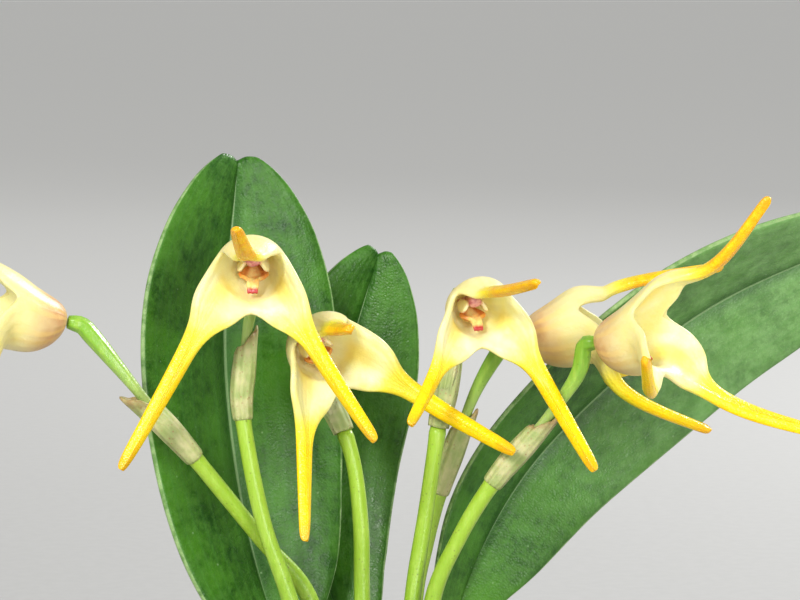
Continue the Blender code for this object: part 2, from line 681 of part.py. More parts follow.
def make_heart(name, group, axes, seat, size):
    """The column with the two small petals beside it, joined at their foot."""
    forward, up, right = axes

    def inside(x, y, z):
        return seat + (right * x + up * y + forward * z) * size

    spine = [inside(0, 0.2, 1.15), inside(0, 0.7, 2.3), inside(0, 1.3, 3.8), inside(0, 1.2, 5.4)]
    column = as_mesh(tube(name, group, smooth_path(spine, 5), [0.65, 0.7, 0.7, 0.72, 0.8, 0.5], heart_pink()), group)
    foot = tube(name + "_foot", group, [inside(-1.6, 0.0, 2.0), inside(0, 0.1, 1.6), inside(1.6, 0.0, 2.0)],
                [0.42, 0.55, 0.42], heart_pink())
    parts = [as_mesh(foot, group)]
    for side in (-1, 1):
        rows = []
        for t, width, out in ((0.0, 0.35, 1.45), (0.35, 0.6, 1.75), (0.7, 0.75, 1.8), (1.0, 0.45, 1.6)):
            rows.append([(side * out, 0.2 + width * x + 0.5 * t, 1.9 + 3.6 * t, 1.0) for x in (-1.0, 0.0, 1.0)])
        petal = blade(f"{name}_petal_{side + 2}", group, [local_grid(axes, seat, size, rows)], 0.6, 2.0, heart_pink())
        parts.append(petal)
    return join(column, parts)


def make_lip(name, group, axes, seat, size):
    """The lip: a tongue below the column with two broad side lobes and a tip that turns down."""
    rows = []
    for way, width, drop, curl in ((1.9, 0.5, -1.0, 0.0), (3.0, 1.5, -1.4, 0.55), (4.2, 1.8, -1.7, 0.75),
                                   (5.1, 0.95, -1.65, 0.2), (6.2, 0.75, -1.85, -0.1), (7.0, 0.6, -2.6, -0.1)):
        rows.append([(width * x, drop + curl * x * x, way, 1.0) for x in (-1.0, -0.5, 0.0, 0.5, 1.0)])
    return blade(name, group, [local_grid(axes, seat, size, rows)], 0.6, 2.0, lip_orange())


def make_bloom(name, group):
    """One bloom's sepals, heart and lip. Returns the way it faces and its base."""
    seat, facing, size, opening, *tips = BLOOMS[name]
    seat = Vector(seat)
    axes = facing_axes(*facing)
    make_sepals(name + "_sepals", group, axes, seat, size, opening, tips)
    make_heart(name + "_heart", group, axes, seat, size)
    make_lip(name + "_lip", group, axes, seat, size)
    return axes[0], seat


def main():
    clear_scene()
    plant = collection("masdevallia_orchid")
    cutters = collection("cutters")
    make_pot(plant, cutters)
    bark = make_bark(plant)
    make_rhizome(plant, bark, cutters)
    for leaf in LEAVES:
        make_leaf(leaf, plant)
        make_sheath(leaf, plant)
    for bloom in BLOOMS:
        forward, seat = make_bloom(bloom, plant)
        peduncle, pedicel = stem_paths(bloom, forward, seat)
        make_peduncle(bloom, plant, bark, cutters, peduncle)
        make_pedicel(bloom, plant, pedicel)
        make_bract(bloom, plant, smooth_path(pedicel, 40))


main()
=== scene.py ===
"""Looks of the potted masdevallia orchid: leaves, stems and blooms in full detail, bark and clay pot.

Lengths are in millimetres until they reach a mesh, and MM turns them into metres.
"""

import random
from math import cos, dist, exp, hypot, pi, radians, sin, sqrt, tan

import bmesh
import bpy
from mathutils import Matrix, Vector, noise


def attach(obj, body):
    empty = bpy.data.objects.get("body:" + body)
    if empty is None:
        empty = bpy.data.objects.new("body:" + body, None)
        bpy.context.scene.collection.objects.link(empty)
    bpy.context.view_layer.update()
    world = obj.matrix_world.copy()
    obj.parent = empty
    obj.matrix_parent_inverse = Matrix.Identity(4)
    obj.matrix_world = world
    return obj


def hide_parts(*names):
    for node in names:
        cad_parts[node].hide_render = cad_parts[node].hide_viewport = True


MM = 0.001
GAP = 0.3  # clearance between pieces that touch on the real plant

# Camera: where it looks, how far off it stands, its height above the horizon and its lens
CAMERA_TARGET = (3, 0, 125.6)
CAMERA_DISTANCE = 420
CAMERA_ELEVATION = radians(5)
CAMERA_LENS = 157.5
TABLE_RADIUS = 80  # in metres
TABLE_SIDES = 96

# Pot and bark, as in the part
POT_HEIGHT = 64
POT_TOP_RADIUS = 39
POT_FOOT_RADIUS = 27
POT_WALL = 4.2
POT_FLOOR = 5
RIM_HEIGHT = 15
RIM_PROUD = 2.2
POT_SIDES = 128
DRAIN_RADIUS = 3.2
DRAIN_RING = 15
DRAIN_COUNT = 3
BARK_TOP = 57
BARK_RELIEF = 1.6
BARK_DOME = 2
BURIED_TO = 50
CHIP_COUNT = 330
MOSS_COUNT = 16
BLADE_COUNT = 70  # in one tuft of moss

# Stems, as in the part
PEDUNCLE_RADIUS = 1
PEDICEL_RADIUS = 0.62
OVARY_RADIUS = 1
BRACT_WALL = 0.5
BRACT_RADIUS = 1.5
BRACT_LENGTH = 8.5
BRACT_FLARE = {"bloom_6": 1.1}  # how far the point of a bract stands off the stem
SOCKET = 0.9  # how far a stalk reaches into its bract
RAMICAUL_RADIUS = 1.3
SHEATH_WALL = 0.5

# Leaves, as in the part but with a finer grid
LEAF_THICKNESS = 1.7
LEAF_EDGE_SHARE = 0.42
LEAF_ROWS = 54
LEAF_COLUMNS = 22
LEAF_STEPS = 60  # along its curve
NOTCH = 0.7
FOLD = radians(24)

# Blooms, as in the part but with a finer grid
SEPAL_THICKNESS = 1.5
SEPAL_EDGE_SHARE = 0.4
SEPAL_COLUMNS = 8
HEART_THICKNESS = 0.45
LIP_THICKNESS = 0.5
SECTOR = radians(60)
CHIN = 0.9
CUP = ((0, 0), (0.3, 1.6), (1.7, 3.1), (4.3, 4.2), (7.2, 4.9))
# The rows of a lobe: the way forward, the distance from the middle, half the width and half the arc
HOODED_LOBE = ((9.2, 4.6, 3.6, 56), (10.6, 4.1, 2.9, 52), (11.5, 3.8, 2.2, 50), (12.2, 3.9, 1.6, 56))
OPEN_LOBE = ((9, 5.9, 4.5, 50), (10.8, 6.9, 4.3, 42), (12.9, 7.1, 3.1, 42), (15, 6.6, 1.7, 56))
LATERAL_LOBE = ((8.2, 5.5, 3.7, 46), (9, 6.9, 3.3, 40), (9.6, 8.3, 2.6, 40), (10, 9.7, 1.6, 50))
TAIL_ROWS = 8
TAIL_HALF_WIDTH = 1.2
TIP_HALF_WIDTH = 0.5
TAIL_THINNING = 0.35
VENTRAL_FUSED_ROWS = 6
VENTRAL_NOTCH = 0.9  # how far the notch between the lateral lobes goes back, as a share of a row
VENTRAL_BULGE = {2: 1.6, 3: 1.2, 4: 0.3}  # how far a lateral lobe's lower edge swells out, by row
RUFFLE = 0.3  # height of the waves along the free edges of the lobes
# Each sepal: its direction round the bloom, how far its lobe turns from it, and where its lower edge lies
SEPALS = {"dorsal": (90, 0, 0), "left": (210, 14, 1), "right": (330, -14, -1)}
CUP_SHARE = 0.4  # how much of the "along" scale the cup takes, and where the tail begins on it
TAIL_START = 0.58

BLOOMS = {
    "bloom_1": ((-14.1, -5, 131.6), (-2, -14, 0), 0.85, 0,
                (-15.4, -27, 135.9), (-29.5, -15, 107), (0.2, -20, 111)),
    "bloom_2": ((-8.8, 2.6, 120.8), (26, -6, 22), 0.88, 0.2,
                (-2.7, -15.5, 123.5), (-8.1, -11, 98), (16.6, -8.5, 108.2)),
    "bloom_3": ((10.7, -1, 125.9), (18, -8, 2), 0.77, 0,
                (18.7, -22.5, 129.5), (4.2, -14.5, 112.2), (25.8, -13.5, 106.7)),
    "bloom_4": ((18.2, 4.8, 120.8), (86, 12, 0), 0.92, 0,
                (42.3, 5.5, 129.2), (40.4, -1, 109.9), (37, 13.5, 119.5)),
    "bloom_5": ((26.6, -6.5, 121.2), (58, 12, -4), 0.9, 1,
                (45.5, -17, 139), (30.6, -27.6, 121.4), (54.5, -9, 110.2)),
    "bloom_6": ((-36.6, -8, 123.8), (-74, 12, 0), 0.84, 0.7,
                (-57, -14, 139), (-53, 3, 110), (-50, -22, 110)),
}
PEDUNCLES = {
    "bloom_1": ((-3, -6), (-3.4, -6, 62), (-6.2, -6.2, 76), (-10.1, -6, 90.2),
                (-13.4, -5.6, 100), (-15.7, -4.6, 112)),
    "bloom_2": ((0, -1.6), (0, -1.4, 62), (-1, 0.4, 76), (-1.6, 2, 89),
                (-1.7, 2.3, 97), (-2.4, 2.6, 104.2), (-3.6, 3, 108.8)),
    "bloom_3": ((3.2, -6.6), (3.3, -6.2, 62), (3.6, -3.6, 76), (4.5, -0.4, 89.2),
                (6, 0.6, 99), (7.6, 0.8, 110)),
    "bloom_4": ((4.6, 0.4), (4.6, 1, 62), (4.4, 3.6, 76), (4.8, 5.4, 88),
                (6.2, 6.2, 95), (7.8, 6.4, 101.4)),
    "bloom_5": ((7.4, -4.6), (7, -4.4, 62), (6, -3.8, 76), (6.8, -3.2, 89.2),
                (10.1, -3.6, 97.4), (14.2, -3.9, 104.2)),
    "bloom_6": ((-6, -2.4), (-5.6, -2, 62), (-5.2, -0.6, 76), (-7.9, 0.2, 89.2),
                (-13.8, -1.8, 97), (-21.4, -5.4, 107.2)),
}
PEDICELS = {
    "bloom_1": ((-15.6, -3.6, 117.5), (-15.1, -1.9, 123), (-14.2, -1.6, 127.2)),
    "bloom_2": ((-5.7, 4.2, 113), (-8, 5.8, 117.2), (-9.6, 6.2, 120)),
    "bloom_3": ((8.6, 1.2, 114.6), (9.4, 2.2, 119.6), (9.4, 2.6, 123.4)),
    "bloom_4": ((9.9, 6.2, 107.7), (12, 5.6, 113.4), (14.2, 5, 117.6)),
    "bloom_5": ((19.2, -4.2, 110.2), (22.4, -4.6, 114.4), (24.3, -5, 117.6)),
    "bloom_6": ((-25.3, -6.8, 112), (-29.2, -7.7, 117), (-32.8, -7.7, 121.4)),
}
LEAVES = {
    "leaf_a": (((-7.2, 4.2, 70), (-10, 5.4, 78), (-14.4, 7.4, 90), (-17.6, 9.6, 104),
                (-19, 12.4, 121), (-17.2, 14, 142.4)), 14, (0.53, -0.85, 0.15)),
    "leaf_b": (((-0.6, 8.2, 70), (-2.4, 11.6, 79), (-6.6, 16.6, 90), (-7, 20.6, 103),
                (-3.8, 23.2, 116), (0.4, 24.6, 130)), 9.6, (0.2, -0.96, 0.15)),
    "leaf_c": (((7.4, 6.6, 70), (8.8, 9.4, 79), (11.6, 14, 90.4), (20.6, 19.4, 104.8),
                (38.8, 24.4, 120.6), (55.4, 28.6, 128.6), (68, 31, 132)), 11.8, (0.1, -0.85, -0.5)),
}
RAMICAUL_FEET = {"leaf_a": (-5.6, 3.2), "leaf_b": (-0.6, 6.4), "leaf_c": (5.6, 4.8)}
RAMICAUL_TOP = 69.6
RHIZOME_RADIUS = 1.8
ROOT_RADIUS = 0.9
ROOTS = (((-6.5, 3.6), (-10.5, 7), (-14, 8.5)), ((-2, 6.2), (-4, 11), (-5.5, 14)),
         ((2, 6.4), (4.2, 11.4), (5.4, 14.5)), ((6.6, 4.9), (11, 6.8), (15, 7)))


# Camera, stage and light

def polar(radius, turn):
    return radius * cos(turn), radius * sin(turn)


def link(obj):
    bpy.context.scene.collection.objects.link(obj)


def make_camera():
    """The photograph's viewpoint: level with the blooms and a little above them."""
    target = Vector(CAMERA_TARGET) * MM
    back = Vector((0, -cos(CAMERA_ELEVATION), sin(CAMERA_ELEVATION)))
    data = bpy.data.cameras.new("camera")
    data.sensor_width = 36
    data.lens = CAMERA_LENS
    data.clip_start = 0.01
    camera = bpy.data.objects.new("camera", data)
    camera.location = target + back * CAMERA_DISTANCE * MM
    camera.rotation_euler = (-back).to_track_quat("-Z", "Y").to_euler()
    link(camera)
    bpy.context.scene.camera = camera


def make_stage():
    """A wide, pale table whose colour is painted darker near the plant and lighter with distance: painted
    light that evens out the lamps' fall-off, so that the table fades into the room.
    """
    rim = [(*polar(TABLE_RADIUS, 2 * pi * number / TABLE_SIDES), 0) for number in range(TABLE_SIDES)]
    mesh = bpy.data.meshes.new("table")
    mesh.from_pydata(rim, [], [list(range(TABLE_SIDES))])
    table = bpy.data.objects.new("table", mesh)
    link(table)
    paint = Paint("table_paper", roughness=0.9, specular=0.2)
    far = paint.node("VectorMath", {0: paint.place()}, "Value", operation="LENGTH")
    # painted light: the paper is painted lighter with distance from the plant, where the lamps' light falls
    # off
    paper_with_painted_light = paint.layers((0.42, 0.42, 0.415), (paint.cloud(4).band(0.3, 0.7), (0.435, 0.435, 0.43)),
                         (far.band(0.35, 2.2), (0.96, 0.96, 0.95)))
    mesh.materials.append(paint.finish(paper_with_painted_light))


def add_light(name, place, aim, size, power, colour):
    data = bpy.data.lights.new(name, "AREA")
    data.shape = "DISK"
    data.size = size
    data.energy = power
    data.color = colour
    light = bpy.data.objects.new(name, data)
    light.location = place
    light.rotation_euler = (Vector(aim) - Vector(place)).to_track_quat("-Z", "Y").to_euler()
    light.visible_camera = False
    link(light)


def make_lights():
    """Soft light from the front and above, and one from behind that shines through the blooms."""
    aim = (0, 0, 0.115)
    add_light("key", (-0.55, -1.3, 0.85), aim, 0.4, 21, (1, 0.99, 0.95))
    add_light("fill", (0.6, -1.4, 0.3), aim, 0.7, 12.5, (1, 1, 0.98))
    add_light("back", (0.9, 0.8, 0.95), aim, 0.35, 19, (1, 1, 1))
    world = bpy.data.worlds.new("room")
    world.use_nodes = True
    inputs = world.node_tree.nodes["Background"].inputs
    inputs["Color"].default_value = (1, 1, 0.98, 1)
    inputs["Strength"].default_value = 0.46
    bpy.context.scene.world = world
    bpy.context.scene.view_settings.view_transform = "Standard"


# Materials

class Value:
    """A number or a colour that varies over a surface: an output of a node in a material."""

    def __init__(self, paint, socket):
        self.paint = paint
        self.socket = socket

    def maths(self, operation, other=0):
        return self.paint.node("Math", {0: self, 1: other}, 0, operation=operation)

    def __add__(self, other):
        return self.maths("ADD", other)

    def __sub__(self, other):
        return self.maths("SUBTRACT", other)

    def __mul__(self, other):
        return self.maths("MULTIPLY", other)

    def sine(self):
        return self.maths("SINE")

    def band(self, low, high, start=0, end=1):
        """start up to low, end from high on, and a smooth change between."""
        inputs = {"Value": self, "From Min": low, "From Max": high, "To Min": start, "To Max": end}
        return self.paint.node("MapRange", inputs, "Result", interpolation_type="SMOOTHSTEP")


class Paint:
    """A Principled material and the nodes that feed it. Sizes are in millimetres, colours are linear."""

    def __init__(self, name, roughness=0.5, subsurface=0, spread=(1, 0.6, 0.3), depth=0.0015,
                 coat=0, specular=0.5):
        self.material = bpy.data.materials.new(name)
        self.material.use_nodes = True
        self.tree = self.material.node_tree
        self.shader = self.tree.nodes["Principled BSDF"]
        settings = {"Roughness": roughness, "Specular IOR Level": specular, "Subsurface Weight": subsurface,
                    "Subsurface Radius": spread, "Subsurface Scale": depth, "Coat Weight": coat,
                    "Coat Roughness": 0.25}
        for socket, value in settings.items():
            self.shader.inputs[socket].default_value = value

    def feed(self, socket, value):
        """Links a value to a socket, or sets the socket to a constant."""
        if isinstance(value, Value):
            self.tree.links.new(value.socket, socket)
        else:
            socket.default_value = (*value, 1) if socket.type == "RGBA" else value

    def node(self, kind, inputs, output, **settings):
        """The output of a new node with these settings and inputs."""
        node = self.tree.nodes.new("ShaderNode" + kind)
        for key, value in settings.items():
            setattr(node, key, value)
        for key, value in inputs.items():
            self.feed(node.inputs[key], value)
        return Value(self, node.outputs[output])

    def mix(self, share, first, second):
        """Two colours mixed by a share of 0 to 1."""
        return self.node("Mix", {0: share, 6: first, 7: second}, 2, data_type="RGBA", clamp_factor=True)

    def layers(self, colour, *layers):
        """A colour with others laid over it in turn, each by its own share."""
        for share, over in layers:
            colour = self.mix(share, colour, over)
        return colour

    def attribute(self, name):
        return self.node("Attribute", {}, "Fac", attribute_name=name)

    def place(self):
        """The place in the object's own coordinates, in metres."""
        return self.node("TexCoord", {}, "Object")

    def axis(self, name):
        return self.node("SeparateXYZ", {0: self.place()}, name)

    def cloud(self, size, detail=3, roughness=0.55, stretch=(1, 1, 1), offset=(0, 0, 0)):
        """Noise from 0 to 1 with lumps of about that size."""
        moved = self.node("Mapping", {"Vector": self.place(), "Scale": stretch, "Location": offset}, "Vector")
        inputs = {"Vector": moved, "Scale": 1 / (size * MM), "Detail": detail, "Roughness": roughness}
        return self.node("TexNoise", inputs, "Fac")

    def cells(self, size):
        """How far a point lies from the middle of its cell, in cells of about that size."""
        return self.node("TexVoronoi", {"Vector": self.place(), "Scale": 1 / (size * MM)}, "Distance")

    def finish(self, colour, height=None, depth=0, strength=1, roughness=None):
        """The material with this colour, and bump from a height of 0 to 1 that stands for that depth."""
        self.feed(self.shader.inputs["Base Color"], colour)
        if roughness is not None:
            self.feed(self.shader.inputs["Roughness"], roughness)
        if height is not None:
            inputs = {"Height": height, "Distance": depth * MM, "Strength": strength}
            self.feed(self.shader.inputs["Normal"], self.node("Bump", inputs, "Normal"))
        return self.material


def leaf_material():
    """Leathery green with a pale midrib between bands of painted shade, faint length-wise veins, pale flecks,
    a painted sheen over the leaves to the right and a lighter rim that is partly a painted edge highlight.
    """
    paint = Paint("leaf_skin", roughness=0.4, subsurface=0.06, spread=(0.4, 1, 0.2), coat=0.05, specular=0.22)
    across = paint.attribute("across")
    along = paint.attribute("along")
    patches = paint.cloud(7, 5, 0.65)
    blotches = paint.cloud(2.6, 4, 0.7, offset=(0.3, 0.1, 0.2))
    mottle = paint.cloud(0.9, 2, 0.7)
    # painted sheen: a whitish green laid over the blotches on the leaves to the right, in place of the
    # light's sheen there
    painted_sheen = paint.axis("X").band(0.01, 0.055) * blotches.band(0.3, 0.7, 0.35, 0.75)
    veins = (across * 46).sine()
    midrib = across.band(0.008, 0.03, 1, 0) * along.band(0.15, 0.5, 0.1, 0.5)
    flecks = paint.cells(1.5).band(0.03, 0.13, 1, 0) * paint.cloud(5).band(0.5, 0.64, 0, 0.45)
    # lighter rim along the blade's edges: partly a pale margin, partly a painted edge highlight
    rim = across.band(0.98, 1) * paint.cloud(1.3).band(0.35, 0.6, 0.35, 1)
    green = paint.layers(
        (0.01, 0.06, 0.004),
        (patches.band(0.35, 0.66), (0.048, 0.17, 0.01)),
        (blotches.band(0.4, 0.68, 0, 0.35), (0.08, 0.24, 0.03)),
        (mottle.band(0.35, 0.75, 0, 0.5), (0.07, 0.2, 0.025)),
        # painted sheen on the leaves to the right
        (painted_sheen, (0.22, 0.4, 0.15)),
        # painted shade in the fold on both sides of the pale midrib
        (across.band(0.02, 0.2, 0.55, 0), (0.012, 0.06, 0.01)),
        (veins.band(0.5, 1, 0, 0.16), (0.07, 0.22, 0.045)),
        (along.band(0.05, 0.3, 0.6, 0), (0.12, 0.3, 0.04)),
        (midrib, (0.34, 0.5, 0.25)),
        (flecks, (0.3, 0.46, 0.24)),
        (rim, (0.26, 0.4, 0.16)))
    grain = paint.cells(0.32) * 0.5 + veins * 0.12 + mottle * 0.5
    return paint.finish(green, grain, 0.1, 0.8, mottle.band(0.3, 0.7, 0.3, 0.5))


def sepal_material(name, inside):
    """Waxy and translucent: cream in the cup and over the lobes, with painted shade deep in the throat on the
    inside, and gold to orange down the tails.
    """
    paint = Paint(name, roughness=0.34, subsurface=0.4, spread=(1, 0.9, 0.45), depth=0.0012, coat=0.12,
                  specular=0.35)
    across = paint.attribute("across")
    along = paint.attribute("along")
    patches = paint.cloud(3.2)
    cream = paint.mix(patches.band(0.35, 0.7), (0.92, 0.89, 0.52), (0.91, 0.86, 0.34))
    gold = paint.layers(
        (0.94, 0.59, 0.001),
        (paint.attribute("dorsal"), (0.92, 0.43, 0.001)),
        (paint.cloud(1.1).band(0.35, 0.7, 0, 0.5), (0.96, 0.72, 0.006)),
        (along.band(0.9, 1, 0, 0.75), (0.88, 0.4, 0.008)))
    if inside:
        heart = across.band(0.1, 0.6, 1, 0) * along.band(0.2, 0.38, 0, 0.65) * along.band(0.45, 0.56, 1, 0.2)
        # painted shade: a pinkish brown deep in the cup, where the throat lies in shadow
        painted_throat_shade = along.band(0.05, 0.28, 0.22, 0) * patches.band(0.3, 0.6, 0.4, 1)
        blush = paint.attribute("under").band(0.35, 0.9) * along.band(0.25, 0.6, 0.5, 0.1)
        cream = paint.layers(
            cream,
            (heart, (0.92, 0.7, 0.08)),
            (painted_throat_shade, (0.8, 0.46, 0.2)),
            (blush * patches.band(0.3, 0.65, 0.3, 1), (0.85, 0.6, 0.42)))
    else:
        blush = along.band(0.08, 0.4, 0.85, 0) * patches.band(0.25, 0.7, 0.6, 1)
        veins = (across * 9.4).sine().band(0.4, 1) * along.band(0.1, 0.55, 0.28, 0.1)
        cream = paint.layers(
            cream,
            (0.6, (0.72, 0.61, 0.24)),
            (blush, (0.54, 0.24, 0.12)),
            (veins, (0.86, 0.6, 0.14)))
        keel = across.band(0.15, 0.6, 1, 0) * along.band(0.6, 0.9, 0.6, 0)
        gold = paint.mix(keel, gold, (0.5, 0.6, 0.03))
    wavering = patches * 0.1 + along - 0.05
    colour = paint.layers(
        cream,
        (wavering.band(0.5, 0.62), (0.92, 0.8, 0.06)),
        (wavering.band(0.57, 0.72), gold))
    sparkle = paint.cells(0.24) * along.band(0.5, 0.7, 0.3, 0.75)
    relief = sparkle + (across * 18.8).sine() * 0.22 + paint.cloud(1.4, 2) * 1.4
    return paint.finish(colour, relief, 0.1, 0.7, along.band(0.5, 0.65, 0.42, 0.26))


def stem_material(name, low, high, freckle, roughness=0.36):
    """A juicy stalk that changes colour from its foot to its top, with fine flecks along it."""
    paint = Paint(name, roughness=roughness, subsurface=0.25, spread=(0.6, 1, 0.25), depth=0.001, coat=0.1,
                  specular=0.35)
    streaks = paint.cloud(1.2, 3, 0.6, stretch=(1.6, 1.6, 0.35))
    dots = paint.cells(0.7).band(0.1, 0.22, 0.7, 0) * paint.cloud(2.4).band(0.4, 0.6)
    colour = paint.layers(
        low,
        (paint.attribute("along").band(0.1, 0.95), high),
        (streaks.band(0.4, 0.75, 0, 0.45), (0.42, 0.6, 0.1)),
        (dots, freckle))
    return paint.finish(colour, streaks + paint.cells(0.4) * 0.4, 0.09, 0.7)


def papery_material(name, pale, warm, fleck):
    """A dry, thin sleeve with raised ribs along it and brown flecks."""
    paint = Paint(name, roughness=0.62, subsurface=0.3, spread=(1, 0.9, 0.5), depth=0.001)
    cloudy = paint.cloud(2.2, 4)
    ribs = (paint.attribute("across") * 62.8).sine()
    specks = paint.cells(0.55).band(0.12, 0.3, 0.9, 0) * paint.cloud(3).band(0.36, 0.54)
    edge = paint.attribute("along").band(0.86, 1) * paint.cloud(1).band(0.3, 0.6, 0.4, 1)
    colour = paint.layers(
        pale,
        (cloudy.band(0.35, 0.68), warm),
        (ribs.band(0.2, 1, 0, 0.35), (0.4, 0.46, 0.17)),
        (specks, fleck),
        (edge, fleck))
    return paint.finish(colour, ribs * 0.35 + cloudy, 0.14, 0.8)


def column_material():
    """Mauve pink with paler streaks."""
    paint = Paint("column_skin", roughness=0.35, subsurface=0.3, spread=(1, 0.4, 0.3), coat=0.2)
    streaks = paint.cloud(0.7, 3, 0.6)
    sides = (paint.attribute("across") * 12.57).sine().band(0.2, 1, 0, 0.5)
    colour = paint.layers(
        (0.52, 0.12, 0.14),
        (streaks.band(0.35, 0.65), (0.72, 0.32, 0.31)),
        (sides, (0.85, 0.5, 0.36)))
    return paint.finish(colour, streaks, 0.08, 0.6)


def petal_material():
    """Cream, flushed rose along the edges."""
    paint = Paint("petal_skin", roughness=0.38, subsurface=0.4, spread=(1, 0.8, 0.4), coat=0.15)
    blotches = paint.cloud(1)
    colour = paint.layers(
        (0.88, 0.76, 0.42),
        (blotches.band(0.4, 0.7, 0, 0.5), (0.86, 0.62, 0.34)),
        (paint.attribute("across").band(0.55, 1, 0, 0.5), (0.8, 0.4, 0.25)))
    return paint.finish(colour, blotches, 0.06, 0.5)


def lip_material():
    """Orange brown over the side lobes, pale yellow on the tongue and dark red at the tip."""
    paint = Paint("lip_skin", roughness=0.36, subsurface=0.3, spread=(1, 0.5, 0.2), coat=0.2)
    along = paint.attribute("along")
    blotches = paint.cloud(0.7)
    lobes = paint.mix(blotches.band(0.3, 0.7), (0.5, 0.12, 0.02), (0.74, 0.32, 0.06))
    colour = paint.layers(
        (0.88, 0.66, 0.24),
        (blotches.band(0.35, 0.7), (0.84, 0.46, 0.14)),
        (paint.attribute("across").band(0.3, 0.7) * along.band(0.5, 0.66, 1, 0), lobes),
        (along.band(0.84, 0.94), (0.42, 0.03, 0.03)))
    return paint.finish(colour, blotches + paint.cells(0.3), 0.08, 0.6)


def clay_material():
    """Unglazed fired clay: mottled orange brown, with pale salts and turning marks."""
    paint = Paint("fired_clay", roughness=0.86, specular=0.25)
    height = paint.axis("Z")
    broad = paint.cloud(26, 5, 0.6)
    fine = paint.cloud(1.6, 5, 0.7)
    low = height.band(0, 0.028, 0.75, 0) * broad.band(0.35, 0.65)
    high = height.band(0.058, 0.064, 0, 0.16) * fine.band(0.4, 0.7)
    pits = paint.cells(2.1).band(0.04, 0.14, 1, 0)
    colour = paint.layers(
        (0.38, 0.13, 0.055),
        (broad.band(0.3, 0.7), (0.52, 0.2, 0.09)),
        (fine.band(0.35, 0.75, 0, 0.45), (0.6, 0.27, 0.14)),
        (low + high, (0.72, 0.62, 0.52)),
        (pits * 0.5, (0.2, 0.08, 0.04)))
    turning = (height * 5200).sine() * broad.band(0.3, 0.7, 0.03, 0.16)
    return paint.finish(colour, fine + turning - pits * 0.6, 0.3, 0.8)


def bark_material():
    """Damp fir bark: red brown to black, in flat layers."""
    paint = Paint("fir_bark", roughness=0.82, specular=0.35)
    coarse = paint.cloud(2.4, 5, 0.65, stretch=(1, 1, 2.6))
    fine = paint.cloud(0.6, 4, 0.7)
    colour = paint.layers(
        (0.05, 0.022, 0.012),
        (paint.attribute("tone"), (0.24, 0.11, 0.05)),
        (coarse.band(0.4, 0.7, 0, 0.7), (0.3, 0.16, 0.085)),
        (fine.band(0.5, 0.8, 0, 0.5), (0.03, 0.015, 0.01)))
    return paint.finish(colour, coarse + fine * 0.5, 0.6, 0.9)


def moss_material():
    """Green, paler at the tips."""
    paint = Paint("moss", roughness=0.9, specular=0.2)
    return paint.finish(paint.layers(
        (0.05, 0.13, 0.015),
        (paint.cloud(1.8, 4).band(0.35, 0.65), (0.13, 0.24, 0.03)),
        (paint.attribute("along"), (0.3, 0.42, 0.08))))


def root_material():
    """Rhizome and roots: grey white over green, with brown scars."""
    paint = Paint("root_skin", roughness=0.7)
    patches = paint.cloud(3, 4)
    colour = paint.layers(
        (0.42, 0.4, 0.26),
        (patches.band(0.35, 0.65), (0.3, 0.34, 0.14)),
        (paint.cloud(1.1).band(0.55, 0.7), (0.2, 0.12, 0.06)))
    return paint.finish(colour, patches, 0.2, 0.7)


# Curves and meshes

def vectors(points):
    return [Vector(point) for point in points]


def smooth_path(points, count):
    """count + 1 points, evenly spaced along the smooth curve through the given ones."""
    points = vectors(points)
    ends = [2 * points[0] - points[1], *points, 2 * points[-1] - points[-2]]
    fine = []
    for before, start, end, after in zip(ends, ends[1:], ends[2:], ends[3:]):
        for step in range(12):
            t = step / 12
            fine.append(0.5 * (2 * start + (end - before) * t
                               + (2 * before - 5 * start + 4 * end - after) * t * t
                               + (3 * start - before - 3 * end + after) * t ** 3))
    fine.append(points[-1])
    along = [0]
    for start, end in zip(fine, fine[1:]):
        along.append(along[-1] + (end - start).length)
    path = []
    place = 0
    for step in range(count + 1):
        target = along[-1] * step / count
        while place < len(along) - 2 and along[place + 1] < target:
            place += 1
        share = (target - along[place]) / (along[place + 1] - along[place])
        path.append(fine[place].lerp(fine[place + 1], share))
    return path


def length_of(path):
    return sum((end - start).length for start, end in zip(path, path[1:]))


def tangents(path):
    last = len(path) - 1
    return [(path[min(i + 1, last)] - path[max(i - 1, 0)]).normalized() for i in range(last + 1)]


def spot_on(path, ways, place):
    """The point at a place along a path, counted in its points, and the way the path runs there."""
    low = min(int(place), len(path) - 2)
    share = place - low
    way = ways[low].lerp(ways[low + 1], min(share, 1))
    return path[low].lerp(path[low + 1], share), way.normalized()


def interpolated(table, t):
    """The value at t of a table of (t, value) rows, along a smooth curve through the rows."""
    last = len(table) - 1
    slopes = []
    for row in range(last + 1):
        before, after = table[max(row - 1, 0)], table[min(row + 1, last)]
        slopes.append((after[1] - before[1]) / (after[0] - before[0]))
    row = 0
    while row < last - 1 and t > table[row + 1][0]:
        row += 1
    (low, value), (high, end) = table[row], table[row + 1]
    span = high - low
    share = min(max((t - low) / span, 0), 1)
    keep = (1 + 2 * share) * (1 - share) ** 2
    return (value * keep + end * (1 - keep) + slopes[row] * span * share * (1 - share) ** 2
            - slopes[row + 1] * span * share * share * (1 - share))


def finish_piece(obj, looks, slot, *nodes):
    """Gives a piece its materials and smooth shading, puts it under the root body and hides the CAD nodes
    that it stands for.
    """
    for look in looks:
        obj.data.materials.append(look)
    if hasattr(obj.data, "polygons"):
        obj.data.polygons.foreach_set("use_smooth", [True] * len(obj.data.polygons))
    link(obj)
    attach(obj, "root")
    if nodes:
        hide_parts(*nodes)
    return obj


